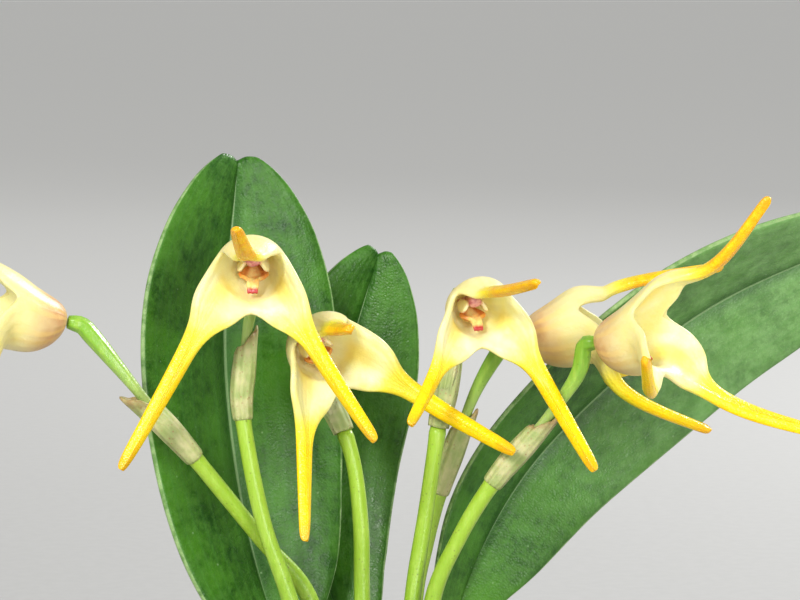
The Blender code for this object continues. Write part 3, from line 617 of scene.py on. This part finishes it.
def grid_mesh(surface, grid, closed=False):
    """Adds a grid of (point, {attribute: value}) to a bmesh. closed joins the last column to the first."""
    rows = []
    for line in grid:
        made = []
        for point, values in line:
            vert = surface.verts.new(point * MM)
            for name, value in values.items():
                if name == "share":
                    vert[surface.verts.layers.deform.verify()][0] = value
                else:
                    layer = surface.verts.layers.float.get(name) or surface.verts.layers.float.new(name)
                    vert[layer] = value
            made.append(vert)
        rows.append(made)
    for low, high in zip(rows, rows[1:]):
        pairs = list(zip(low, low[1:], high[1:], high))
        if closed:
            pairs.append((low[-1], low[0], high[0], high[-1]))
        for corners in pairs:
            surface.faces.new(corners)
    return rows


def new_surface(*names):
    """An empty bmesh with its layers, made first because adding one later loses the others' handles."""
    surface = bmesh.new()
    surface.verts.layers.deform.verify()
    for name in names:
        surface.verts.layers.float.new(name)
    return surface


def mesh_piece(name, surface):
    bmesh.ops.recalc_face_normals(surface, faces=surface.faces)
    mesh = bpy.data.meshes.new(name)
    surface.to_mesh(mesh)
    surface.free()
    return bpy.data.objects.new(name, mesh)


def spaced(count):
    """count + 1 numbers, evenly spaced from -1 to 1."""
    return [2 * number / count - 1 for number in range(count + 1)]


def grid_of(rows, columns, entry):
    """A grid for grid_mesh. entry(t, x) gets t from 0 to 1 and x from -1 to 1."""
    return [[entry(row / rows, x) for x in spaced(columns)] for row in range(rows + 1)]


def values_at(t, x, share=1.0):
    return {"share": share, "along": t, "across": abs(x)}


def thin_body(name, grids, thickness, edge_share=2, levels=1):
    """A thin smooth body from open grids, welded where they meet, thickened and rounded off."""
    surface = new_surface(*[key for key in grids[0][0][0][1] if key != "share"])
    for grid in grids:
        grid_mesh(surface, grid)
    bmesh.ops.remove_doubles(surface, verts=surface.verts, dist=2e-6)
    obj = mesh_piece(name, surface)
    obj.vertex_groups.new(name="thick")
    solid = obj.modifiers.new("thickness", "SOLIDIFY")
    solid.thickness = thickness * MM
    solid.offset = 0
    solid.use_quality_normals = True
    solid.vertex_group = "thick"
    solid.thickness_vertex_group = edge_share * 0.5
    smooth = obj.modifiers.new("smooth", "SUBSURF")
    smooth.levels = smooth.render_levels = levels
    return obj


def ring_frames(path, side):
    """The path's direction at each point, and two directions across it that turn as little as they can."""
    frames = []
    side = Vector(side)
    for along in tangents(path):
        side = (side - along * side.dot(along)).normalized()
        frames.append((along, side, along.cross(side)))
    return frames


def stem_rings(surface, path, radius_at, sides, side=(1, 0.3, 0)):
    """Adds a closed stem with rounded ends. radius_at(t, turn) gives its radius in millimetres."""
    frames = ring_frames(path, side)
    last = len(path) - 1

    def ring(index, shrink=1, shift=0):
        along, across, third = frames[index]
        t = index / last
        line = []
        for number in range(sides):
            turn = 2 * pi * number / sides
            out = (across * cos(turn) + third * sin(turn)) * radius_at(t, turn) * shrink
            line.append((path[index] + along * shift + out, {"along": t, "across": number / sides}))
        return line

    foot, tip = (0.105 * radius_at(t, 0) for t in (0, 1))
    grid = [ring(0, 0.55), ring(0, 0.9, foot), *(ring(index) for index in range(1, last)),
            ring(last, 0.9, -tip), ring(last, 0.55)]
    rows = grid_mesh(surface, grid, closed=True)
    surface.faces.new(rows[0][::-1])
    surface.faces.new(rows[-1])


def make_stem(name, path, radius_at, sides, look, slot, node):
    surface = new_surface("along", "across")
    stem_rings(surface, path, radius_at, sides)
    finish_piece(mesh_piece(name, surface), [look], slot, node)


# Leaves

def make_leaf(name, look):
    """A leathery blade, folded along its midrib, from a channelled stalk to a shallow notch."""
    points, half_width, facing = LEAVES[name]
    path = smooth_path(points, LEAF_STEPS)
    ways = tangents(path)
    outline = ((0, 1.15 / half_width), (0.09, 1.2 / half_width), (0.17, 0.32), (0.28, 0.68), (0.44, 0.9),
               (0.62, 1), (0.77, 0.95), (0.88, 0.75), (0.95, 0.5), (0.985, 0.3), (1, 0.16))

    def entry(t, x):
        t += 0.1 * sin(pi * t) * t
        x *= 0.75 + 0.25 * abs(x)
        centre, along = spot_on(path, ways, t * LEAF_STEPS)
        across = Vector(facing).cross(along).normalized()
        width = half_width * interpolated(outline, t)
        lift = width * abs(x) * tan(FOLD) - width * x * x * 0.1
        wave = 0.35 * sin(9 * t + 2 * x) * x * x * min(1, 4 * t)
        groove = 0.22 * exp(-(x * width / 0.45) ** 2) * min(1, 5 * t)
        dip = NOTCH * exp(-(x * 3.2) ** 2) * t ** 12
        point = centre + across * (x * width) + along.cross(across) * (lift + wave - groove) - along * dip
        thick = 0.5 + 0.5 * exp(-(x * width / 3) ** 2)
        return point, values_at(t, x, max(LEAF_EDGE_SHARE, thick * (1 - 0.3 * t)))

    grid = grid_of(LEAF_ROWS, LEAF_COLUMNS, entry)
    finish_piece(thin_body(name + "_blade", [grid], LEAF_THICKNESS, LEAF_EDGE_SHARE), [look], "leaf", name)


def sleeve(name, path, reach, start, radius_at, point, wall, rows, sides, side):
    """A thin papery sleeve along a path. Its mouth is slanted, and its longest side ends in a point."""
    whole = length_of(path)
    ways = tangents(path)
    grid = []
    for row in range(rows + 1):
        up = row / rows
        ring = []
        for number in range(sides + 1):
            turn = 2 * pi * number / sides
            slant = point * (0.5 + 0.5 * cos(turn)) ** 3 + 0.1 * cos(turn)
            ragged = 0.02 * sin(5 * turn + 2) + 0.015 * sin(11 * turn)
            place = (start + reach * up * (1 + (slant + ragged) * up ** 3)) / whole * (len(path) - 1)
            centre, along = spot_on(path, ways, place)
            across = (Vector(side) - along * along.dot(Vector(side))).normalized()
            out = across * cos(turn) + along.cross(across) * sin(turn)
            ring.append((centre + out * radius_at(up, turn), values_at(up, number / sides)))
        ring[-1] = (ring[0][0], values_at(up, 1))
        grid.append(ring)
    return thin_body(name, [grid], wall)


def make_sheath(name, look):
    """The papery sleeve round a ramicaul's top and the foot of its leaf."""
    top = Vector(LEAVES[name][0][0])
    foot = Vector((*RAMICAUL_FEET[name], BARK_TOP + BARK_DOME + 3))
    path = smooth_path([foot, Vector((top.x, top.y, RAMICAUL_TOP)), Vector(LEAVES[name][0][1])], 20)
    step = length_of(path) / 20

    def radius_at(up, turn):
        return RAMICAUL_RADIUS + GAP + 0.35 + SHEATH_WALL / 2 + 0.35 * up * up + 0.05 * sin(8 * turn)

    side = (0, 1, 0)
    obj = sleeve(name + "_sleeve", path, 8 * step, 5 * step, radius_at, 0.2, SHEATH_WALL, 8, 20, side)
    finish_piece(obj, [look], "bract", name + "_sheath")


# Blooms

def facing_axes(turn, tilt, roll):
    """The way a bloom faces, its upper side and its right side, as unit vectors."""
    turn, tilt, roll = (radians(angle) for angle in (turn, tilt, roll))
    forward = Vector((sin(turn) * cos(tilt), -cos(turn) * cos(tilt), sin(tilt)))
    right = Vector((cos(turn), sin(turn), 0))
    up = forward.cross(right)
    spin = Matrix.Rotation(roll, 3, forward)
    return forward, spin @ up, spin @ right


def lobe_of(kind, opening):
    """The free rows of a sepal: the dorsal one lies between its hooded and its open form."""
    if kind != "dorsal":
        return LATERAL_LOBE
    rows = zip(HOODED_LOBE, OPEN_LOBE)
    return [[hooded + (opened - hooded) * opening for hooded, opened in zip(*pair)] for pair in rows]


def sepal_rows(kind, axes, seat, size, opening, tip):
    """The rows of one sepal, from the cup's base to the tail's tip. Each point has its shading values."""
    forward, up, right = axes
    direction, turn, lower = SEPALS[kind]
    middle = radians(direction)
    lobe = lobe_of(kind, opening)
    shares = spaced(SEPAL_COLUMNS)

    def outward(angle):
        return right * cos(angle) + up * sin(angle)

    def place(way, radius, angle):
        chin = CHIN * sin(pi * min(way / CUP[-1][0], 1))
        return seat + (forward * way + outward(angle) * radius - up * chin) * size

    def entry(point, share, x, along):
        extra = {"dorsal": float(kind == "dorsal"), "under": max(0, x * lower)}
        return point, {**values_at(along, x, share), **extra}

    rows = []
    for way, radius in CUP:
        along = CUP_SHARE * way / CUP[-1][0]
        spots = [place(way, radius, middle + SECTOR * x) for x in shares]
        rows.append([entry(spot, SEPAL_EDGE_SHARE, x, along) for spot, x in zip(spots, shares)])
    spine = []
    for number, (way, radius, width, arc) in enumerate(lobe, start=1):
        angle = middle + radians(turn) * number / len(lobe)
        along = CUP_SHARE + (TAIL_START - CUP_SHARE) * number / len(lobe)
        spine.append((place(way, radius, angle), width * size, radians(arc), along))
    start, before = spine[-1][0], spine[-2][0]
    tip = Vector(tip)
    reach = (tip - start).length
    leave = (start - before).normalized()
    control = start + leave * reach * 0.28
    turn_in = start.lerp(tip, 0.68) + leave * reach * 0.05
    for number in range(1, TAIL_ROWS + 1):
        t = number / TAIL_ROWS
        point = start * (1 - t) ** 3 + control * 3 * t * (1 - t) ** 2
        point += turn_in * 3 * t * t * (1 - t) + tip * t ** 3
        width = TAIL_HALF_WIDTH + (TIP_HALF_WIDTH - TAIL_HALF_WIDTH) * t
        width *= 0.62 if number == TAIL_ROWS else 1
        spine.append((point, width * size, radians(62), TAIL_START + (1 - TAIL_START) * t))
    first = place(*CUP[-1], middle)
    directions = tangents([first, *(knot[0] for knot in spine)])[1:]
    across = outward(middle + pi / 2)
    for number, ((point, width, arc, along), way) in enumerate(zip(spine, directions)):
        across = (across - way * across.dot(way)).normalized()
        inner = way.cross(across)
        bow = width / sin(arc)
        thinned = 1 - TAIL_THINNING * max(0, number + 1 - len(lobe)) / TAIL_ROWS
        tail = min(1, max(0, (number - 1) / 3)) * thinned
        line = []
        for x in shares:
            spot = point + across * bow * sin(arc * x) + inner * bow * (1 - cos(arc * x))
            if number < len(lobe):
                spot += inner * RUFFLE * size * sin(2.3 * number + 4 * x) * abs(x) ** 3
            if x * lower > 0:
                spot += across * x * VENTRAL_BULGE.get(number, 0) * size * x * x
            thick = SEPAL_EDGE_SHARE + (1 - SEPAL_EDGE_SHARE) * tail * sqrt(max(0, 1 - x * x))
            line.append(entry(spot, thick, x, along))
        rows.append(line)
    return rows


def weld_edges(one, one_column, other, other_column, upto):
    """Brings the edges of two sepals together over their fused rows, and eases the change across them."""
    for row in range(1, upto):
        meet = (one[row][one_column][0] + other[row][other_column][0]) / 2
        for sepal, edge in ((one, one_column), (other, other_column)):
            shift = meet - sepal[row][edge][0]
            for column in range(SEPAL_COLUMNS + 1):
                near = 1 - abs(column - edge) / (SEPAL_COLUMNS / 2)
                if near > 0:
                    point, values = sepal[row][column]
                    sepal[row][column] = (point + shift * near * near, values)


def make_sepals(name, axes, seat, size, opening, tips, looks):
    """The three sepals, fused into a cup at the base, with three tails."""
    dorsal, left, right = [sepal_rows(kind, axes, seat, size, opening, tip)
                           for kind, tip in zip(SEPALS, tips)]
    fused = len(CUP)
    weld_edges(right, SEPAL_COLUMNS, dorsal, 0, fused)
    weld_edges(dorsal, SEPAL_COLUMNS, left, 0, fused)
    weld_edges(left, SEPAL_COLUMNS, right, 0, VENTRAL_FUSED_ROWS + 1)
    for sepal, edge in ((left, SEPAL_COLUMNS), (right, 0)):
        point, values = sepal[VENTRAL_FUSED_ROWS][edge]
        back = sepal[VENTRAL_FUSED_ROWS - 1][edge][0]
        sepal[VENTRAL_FUSED_ROWS][edge] = (point.lerp(back, VENTRAL_NOTCH), values)
    obj = thin_body(name + "_cup_and_tails", [dorsal, left, right], SEPAL_THICKNESS, SEPAL_EDGE_SHARE, 2)
    obj.modifiers["thickness"].material_offset = 1
    finish_piece(obj, looks, "sepal", name + "_sepals")


def make_column(name, inside, size, look):
    """The column in the bloom's middle, on the short foot that joins it to the petals."""
    surface = new_surface("along", "across")
    spine = [inside(0, 0.1, 1.15), inside(0, 0.3, 2.3), inside(0, 0.6, 3.8), inside(0, 0.45, 5.4)]
    table = ((0, 0.6), (0.2, 0.7), (0.6, 0.76), (0.8, 0.9), (0.93, 0.94), (1, 0.66))

    def radius_at(t, turn):
        return size * interpolated(table, t) * (1 + 0.12 * cos(2 * turn) + 0.05 * cos(3 * turn))

    def foot_radius_at(t, turn):
        return size * (0.42 + 0.13 * sin(pi * t))

    stem_rings(surface, smooth_path(spine, 22), radius_at, 18)
    foot = [inside(-1.6, 0, 2), inside(0, 0.1, 1.6), inside(1.6, 0, 2)]
    stem_rings(surface, smooth_path(foot, 10), foot_radius_at, 12, side=(0, 0, 1))
    finish_piece(mesh_piece(name + "_column", surface), [look], "heart", name + "_heart")


def make_petals(name, inside, look):
    """The two small petals beside the column, each a narrow cupped strip with a blunt tip."""
    widths = ((0, 0.35), (0.35, 0.65), (0.7, 0.9), (0.9, 0.8), (1, 0.45))
    distances = ((0, 1.45), (0.35, 1.75), (0.7, 1.8), (1, 1.6))

    def petal(side):
        def entry(t, x):
            width = interpolated(widths, t)
            out = interpolated(distances, t) - 0.1 - 0.62 * width * (x + 0.3 * x * x)
            return inside(side * out, width * x - 0.35 * t, 1.9 + 3.6 * t - 0.15 * x * x), values_at(t, x)
        return grid_of(9, 6, entry)

    finish_piece(thin_body(name + "_petals", [petal(-1), petal(1)], HEART_THICKNESS), [look], "heart")


def make_lip(name, inside, look):
    """The lip: a tongue below the column with two broad side lobes and a tip that turns down."""
    spine = ((1.9, 0.5, -1, 0), (3, 1.6, -1.9, 0.6), (4.2, 2.1, -2.5, 0.9),
             (5.1, 1, -2.2, 0.2), (6.2, 0.85, -2.5, -0.1), (7, 0.7, -3.5, -0.1))
    tables = [[(number / 5, value) for number, value in enumerate(column)] for column in zip(*spine)]

    def entry(t, x):
        way, width, drop, curl = (interpolated(table, t) for table in tables)
        keel = 0.12 * exp(-(x * 4) ** 2)
        return inside(width * x, drop + curl * x * x - keel, way), values_at(t, x)

    tongue = thin_body(name + "_tongue", [grid_of(20, 10, entry)], LIP_THICKNESS)
    finish_piece(tongue, [look], "lip", name + "_lip")


def stem_paths(name, forward, seat):
    """One smooth stem from the bark to the bloom's base, parted at its joint into peduncle and pedicel."""
    foot, *points = PEDUNCLES[name]
    joint = Vector(points[-1])
    end = seat - forward * (GAP + 0.42)
    start = Vector((*foot, BURIED_TO))
    whole = smooth_path([start, *vectors(points), *vectors(PEDICELS[name]), end - forward * 1.3, end], 54)
    parting = min(range(len(whole)), key=lambda i: (whole[i] - joint).length)
    return whole[:parting + 1], whole[parting:]


def make_peduncle(number, whole, look):
    """A flower's stalk, from inside the bark to just inside its bract."""
    path = smooth_path(whole, 60)
    path.append(path[-1] + (path[-1] - path[-2]).normalized() * SOCKET)

    def radius_at(t, turn):
        swelling = 0.1 * exp(-((t - 0.99) / 0.02) ** 2)
        uneven = 0.02 * sin(2 * turn + 14 * t) + 0.02 * sin(23 * t + number)
        return PEDUNCLE_RADIUS * (1.12 - 0.18 * t + swelling + uneven)

    make_stem(f"stalk_{number}", path, radius_at, 16, look, "stem", f"peduncle_{number}")


def make_pedicel(number, whole, look):
    """The pedicel and ovary: thin inside the bract, then a ribbed ovary that meets the bloom's base."""
    path = smooth_path(whole, 40)
    reach = length_of(path)
    path[-1] = path[-1] + (path[-1] - path[-2]).normalized() * GAP
    table = ((0, PEDICEL_RADIUS), (BRACT_LENGTH / reach + 0.06, PEDICEL_RADIUS), (0.84, OVARY_RADIUS),
             (0.95, OVARY_RADIUS * 0.95), (1, OVARY_RADIUS * 0.8))

    def radius_at(t, turn):
        ribbed = 0.07 * cos(6 * turn) * min(1, max(0, (t - 0.4) / 0.4))
        return interpolated(table, t) * (1 + ribbed)

    make_stem(f"ovary_stalk_{number}", path, radius_at, 24, look, "stem", f"ovary_{number}")


def make_bract(number, name, whole, look):
    """The papery bract: a sleeve round the pedicel with a slanted mouth that ends in a point."""
    path = smooth_path(whole, 40)
    side = path[-1] - path[0]
    side.z = 0
    profile = ((0, 0.82), (0.18, 0.9), (0.55, 1), (0.85, 0.92), (1, 0.86))

    def radius_at(up, turn):
        flare = BRACT_FLARE.get(name, 0) * max(0, cos(turn)) * up ** 4
        return BRACT_RADIUS * interpolated(profile, up) - BRACT_WALL / 2 + 0.04 * sin(7 * turn) + flare

    reach = BRACT_LENGTH + 0.8
    obj = sleeve(f"bract_sleeve_{number}", path, reach, -0.5, radius_at, 0.16, BRACT_WALL, 14, 24, side)
    finish_piece(obj, [look], "bract", f"bract_{number}")


def make_blooms():
    outside = sepal_material("sepal_outside", inside=False)
    inner = sepal_material("sepal_inside", inside=True)
    column = column_material()
    petal = petal_material()
    lip = lip_material()
    stalk = stem_material("stalk_skin", (0.08, 0.24, 0.008), (0.3, 0.48, 0.035), (0.16, 0.2, 0.03))
    ovary = stem_material("ovary_skin", (0.42, 0.5, 0.2), (0.2, 0.42, 0.03), (0.12, 0.26, 0.02), 0.3)
    bract = papery_material("bract_skin", (0.3, 0.38, 0.12), (0.52, 0.5, 0.25), (0.34, 0.24, 0.1))
    for number, (name, (seat, facing, size, opening, *tips)) in enumerate(BLOOMS.items(), start=1):
        seat = Vector(seat)
        axes = facing_axes(*facing)
        forward, up, right = axes

        def inside(x, y, z):
            return seat + (right * x + up * y + forward * z) * size

        make_sepals(name, axes, seat, size, opening, tips, [outside, inner])
        make_column(name, inside, size, column)
        make_petals(name, inside, petal)
        make_lip(name, inside, lip)
        low, high = stem_paths(name, forward, seat)
        make_peduncle(number, low, stalk)
        make_pedicel(number, high, ovary)
        make_bract(number, name, high, bract)


# Rhizome, bark and pot

def make_rhizome(look):
    """The creeping stem with its three ramicauls and its roots."""
    def lie(x, y, lift):
        return Vector((x, y, BARK_TOP + BARK_DOME + lift))

    surface = new_surface("along", "across")
    feet = [lie(x, y, 0.7) for x, y in RAMICAUL_FEET.values()]
    creep = smooth_path([lie(-9, 1.6, 0.2), *feet, lie(8.6, 3.2, 0)], 48)

    def creeping(t, turn):
        return RHIZOME_RADIUS * (0.45 + 0.55 * sin(pi * t) ** 0.4) * (1 + 0.05 * sin(60 * t))

    stem_rings(surface, creep, creeping, 16)
    for leaf, (x, y) in RAMICAUL_FEET.items():
        top = Vector(LEAVES[leaf][0][0])
        top.z = RAMICAUL_TOP
        path = smooth_path([lie(x, y, 0.4), lie(x, y, 3), top], 16)
        stem_rings(surface, path, lambda t, turn: RAMICAUL_RADIUS * (1 + 0.04 * sin(30 * t)), 14)
    for start, over, end in ROOTS:
        path = smooth_path([lie(*start, 0.6), lie(*over, 0.9), Vector((*end, BURIED_TO))], 24)
        stem_rings(surface, path, lambda t, turn: ROOT_RADIUS * (1 + 0.06 * sin(25 * t + turn)), 12)
    finish_piece(mesh_piece("creeping_stem", surface), [look], "rhizome", "rhizome")


def bark_height(x, y):
    """The top of the bark: a low dome with lumps, in millimetres."""
    far = hypot(x, y) / (POT_TOP_RADIUS - POT_WALL)
    broad = noise.noise(Vector((x * 0.19, y * 0.19, 3)))
    fine = noise.noise(Vector((x * 0.42, y * 0.42, 9)))
    return BARK_TOP + BARK_DOME * (1 - far * far) + BARK_RELIEF * (broad + 0.6 * fine)


def room_at(x, y):
    """How far a point of the bark lies from the middle of the nearest stem."""
    feet = [points[0] for points in PEDUNCLES.values()] + list(RAMICAUL_FEET.values())
    return min(dist(foot, (x, y)) for foot in feet)


def block_faces(cuts):
    """The corners and the faces of a cube from -1 to 1 whose sides are cut into a grid."""
    corners = {}
    faces = []

    def corner(axis, end, i, j):
        spot = [0, 0, 0]
        spot[axis] = end
        spot[axis - 2] = 2 * i / cuts - 1
        spot[axis - 1] = 2 * j / cuts - 1
        return corners.setdefault(tuple(spot), len(corners))

    for axis in range(3):
        for end in (-1, 1):
            for i in range(cuts):
                for j in range(cuts):
                    faces.append([corner(axis, end, i, j), corner(axis, end, i + 1, j),
                                  corner(axis, end, i + 1, j + 1), corner(axis, end, i, j + 1)])
    return vectors(corners), faces


def make_chips(look):
    """Loose chips of bark on top of the filling: flat, cracked blocks that lie at every angle."""
    draw = random.Random(11)
    surface = new_surface("tone")
    tone = surface.verts.layers.float["tone"]
    corners, faces = block_faces(3)
    furthest = POT_TOP_RADIUS - POT_WALL - 4.2
    for _ in range(CHIP_COUNT):
        x, y = polar(furthest * sqrt(draw.random()), draw.uniform(0, 2 * pi))
        size = Vector((draw.uniform(1.8, 3.6), draw.uniform(1.4, 2.6), draw.uniform(0.7, 1.4)))
        if room_at(x, y) < size.x + 1.4:
            continue
        lean, roll = draw.uniform(-0.45, 0.45), draw.uniform(-0.45, 0.45)
        tilt = Matrix.Rotation(lean, 3, "X") @ Matrix.Rotation(roll, 3, "Y")
        spin = Matrix.Rotation(draw.uniform(0, pi), 3, "Z") @ tilt
        centre = Vector((x, y, bark_height(x, y) + draw.uniform(-0.4, 0.5)))
        seed = Vector((draw.random(), draw.random(), draw.random())) * 40
        shade = draw.random()
        made = []
        for corner in corners:
            form = corner.lerp(corner.normalized() * 1.25, 0.35)
            form += noise.noise_vector(form * 1.1 + seed) * 0.3
            made.append(surface.verts.new((centre + spin @ (form * size)) * MM))
            made[-1][tone] = shade
        for face in faces:
            surface.faces.new([made[index] for index in face])
    obj = mesh_piece("bark_chips", surface)
    finish_piece(obj, [look], "bark")
    obj.data.polygons.foreach_set("use_smooth", [False] * len(obj.data.polygons))


def make_moss(look):
    """A few low tufts of moss between the chips."""
    draw = random.Random(23)
    surface = new_surface("along")
    tip = surface.verts.layers.float["along"]
    for _ in range(MOSS_COUNT):
        middle = Vector(polar(draw.uniform(8, 30), draw.uniform(0, 2 * pi)))
        for _ in range(BLADE_COUNT):
            spread = 3.4 * sqrt(draw.random())
            x, y = middle + Vector(polar(spread, draw.uniform(0, 2 * pi)))
            if room_at(x, y) < 2 or hypot(x, y) > 32.5:
                continue
            foot = Vector((x, y, bark_height(x, y) + 0.2))
            lean = Vector((draw.uniform(-0.5, 0.5), draw.uniform(-0.5, 0.5), 1)).normalized()
            tall = draw.uniform(1.2, 2.4) * (1.25 - spread / 6)
            side = lean.orthogonal().normalized()
            third = lean.cross(side)
            ways = [side * cos(a) + third * sin(a) for a in (0, 2.1, 4.2)]
            base = [surface.verts.new((foot + way * 0.22) * MM) for way in ways]
            belly = [surface.verts.new((foot + lean * tall * 0.5 + way * 0.3) * MM) for way in ways]
            top = surface.verts.new((foot + lean * tall) * MM)
            top[tip] = 1
            for i in range(3):
                belly[i][tip] = 0.4
                surface.faces.new((base[i], base[i - 2], belly[i - 2], belly[i]))
                surface.faces.new((belly[i], belly[i - 2], top))
            surface.faces.new(base[::-1])
    finish_piece(mesh_piece("moss_tufts", surface), [look], "leaf")


def make_pot(look):
    """The clay pot: a tapered wall with a plain rim band, soft edges and three drain holes."""
    top = POT_HEIGHT
    waist = POT_HEIGHT - RIM_HEIGHT
    taper = (POT_TOP_RADIUS - POT_FOOT_RADIUS) / POT_HEIGHT

    def radius_at(height):
        return POT_FOOT_RADIUS + taper * height

    outer_rim = POT_TOP_RADIUS + RIM_PROUD
    inner_rim = POT_TOP_RADIUS - POT_WALL
    rim_foot = radius_at(waist) + RIM_PROUD
    floor = radius_at(POT_FLOOR) - POT_WALL
    profile = [
        (0, 0), (POT_FOOT_RADIUS - 0.9, 0), (POT_FOOT_RADIUS - 0.3, 0.25), (POT_FOOT_RADIUS, 0.8),
        (radius_at(14), 14), (radius_at(30), 30), (radius_at(waist) - 0.35, waist - 0.8),
        (radius_at(waist) + 0.1, waist - 0.2), (rim_foot - 0.7, waist), (rim_foot - 0.15, waist + 0.25),
        (rim_foot, waist + 0.8), (outer_rim - 0.9, top - 6), (outer_rim, top - 1.6),
        (outer_rim - 0.25, top - 0.6), (outer_rim - 0.8, top - 0.12), (outer_rim - 1.5, top),
        (inner_rim + 1.6, top), (inner_rim + 0.7, top - 0.2), (inner_rim + 0.15, top - 0.8),
        (inner_rim, top - 1.6), (floor, POT_FLOOR + 1.5), (floor - 1.5, POT_FLOOR), (0, POT_FLOOR),
    ]
    mesh = bpy.data.meshes.new("clay_pot")
    points = [(radius * MM, 0, height * MM) for radius, height in reversed(profile)]
    mesh.from_pydata(points, [(i, i + 1) for i in range(len(points) - 1)], [])
    pot = bpy.data.objects.new("clay_pot", mesh)
    screw = pot.modifiers.new("turn", "SCREW")
    screw.steps = screw.render_steps = POT_SIDES
    screw.use_merge_vertices = True
    screw.merge_threshold = 0.00005
    screw.use_smooth_shade = True
    finish_piece(pot, [look], "clay", "pot")
    drains = []
    for number in range(DRAIN_COUNT):
        turn = 2 * pi * number / DRAIN_COUNT
        bpy.ops.mesh.primitive_cylinder_add(
            vertices=32, radius=DRAIN_RADIUS * MM, depth=3 * POT_FLOOR * MM,
            location=(*polar(DRAIN_RING * MM, turn), POT_FLOOR / 2 * MM))
        drains.append(bpy.context.object)
        hole = pot.modifiers.new("drain", "BOOLEAN")
        hole.operation = "DIFFERENCE"
        hole.object = drains[-1]
    bpy.context.view_layer.update()
    graph = bpy.context.evaluated_depsgraph_get()
    cut_mesh = bpy.data.meshes.new_from_object(pot.evaluated_get(graph))
    pot.modifiers.clear()
    pot.data = cut_mesh
    for drain in drains:
        bpy.data.objects.remove(drain)
    edges = pot.modifiers.new("edges", "EDGE_SPLIT")
    edges.split_angle = radians(50)


def build(filling):
    """The whole scene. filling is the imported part's own bark, which only gets a new material."""
    make_camera()
    make_stage()
    make_lights()
    leaf = leaf_material()
    dry = papery_material("sheath_skin", (0.6, 0.55, 0.36), (0.5, 0.4, 0.22), (0.26, 0.14, 0.06))
    for name in LEAVES:
        make_leaf(name, leaf)
        make_sheath(name, dry)
    make_blooms()
    make_rhizome(root_material())
    bark = bark_material()
    filling.data.materials.clear()
    filling.data.materials.append(bark)
    make_chips(bark)
    make_moss(moss_material())
    make_pot(clay_material())


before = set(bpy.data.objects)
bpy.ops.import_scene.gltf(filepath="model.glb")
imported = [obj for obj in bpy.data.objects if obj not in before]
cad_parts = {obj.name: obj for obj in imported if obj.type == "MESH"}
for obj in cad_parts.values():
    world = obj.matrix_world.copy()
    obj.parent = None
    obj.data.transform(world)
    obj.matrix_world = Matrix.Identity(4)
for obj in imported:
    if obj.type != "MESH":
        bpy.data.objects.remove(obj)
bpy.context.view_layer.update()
build(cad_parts["bark"])
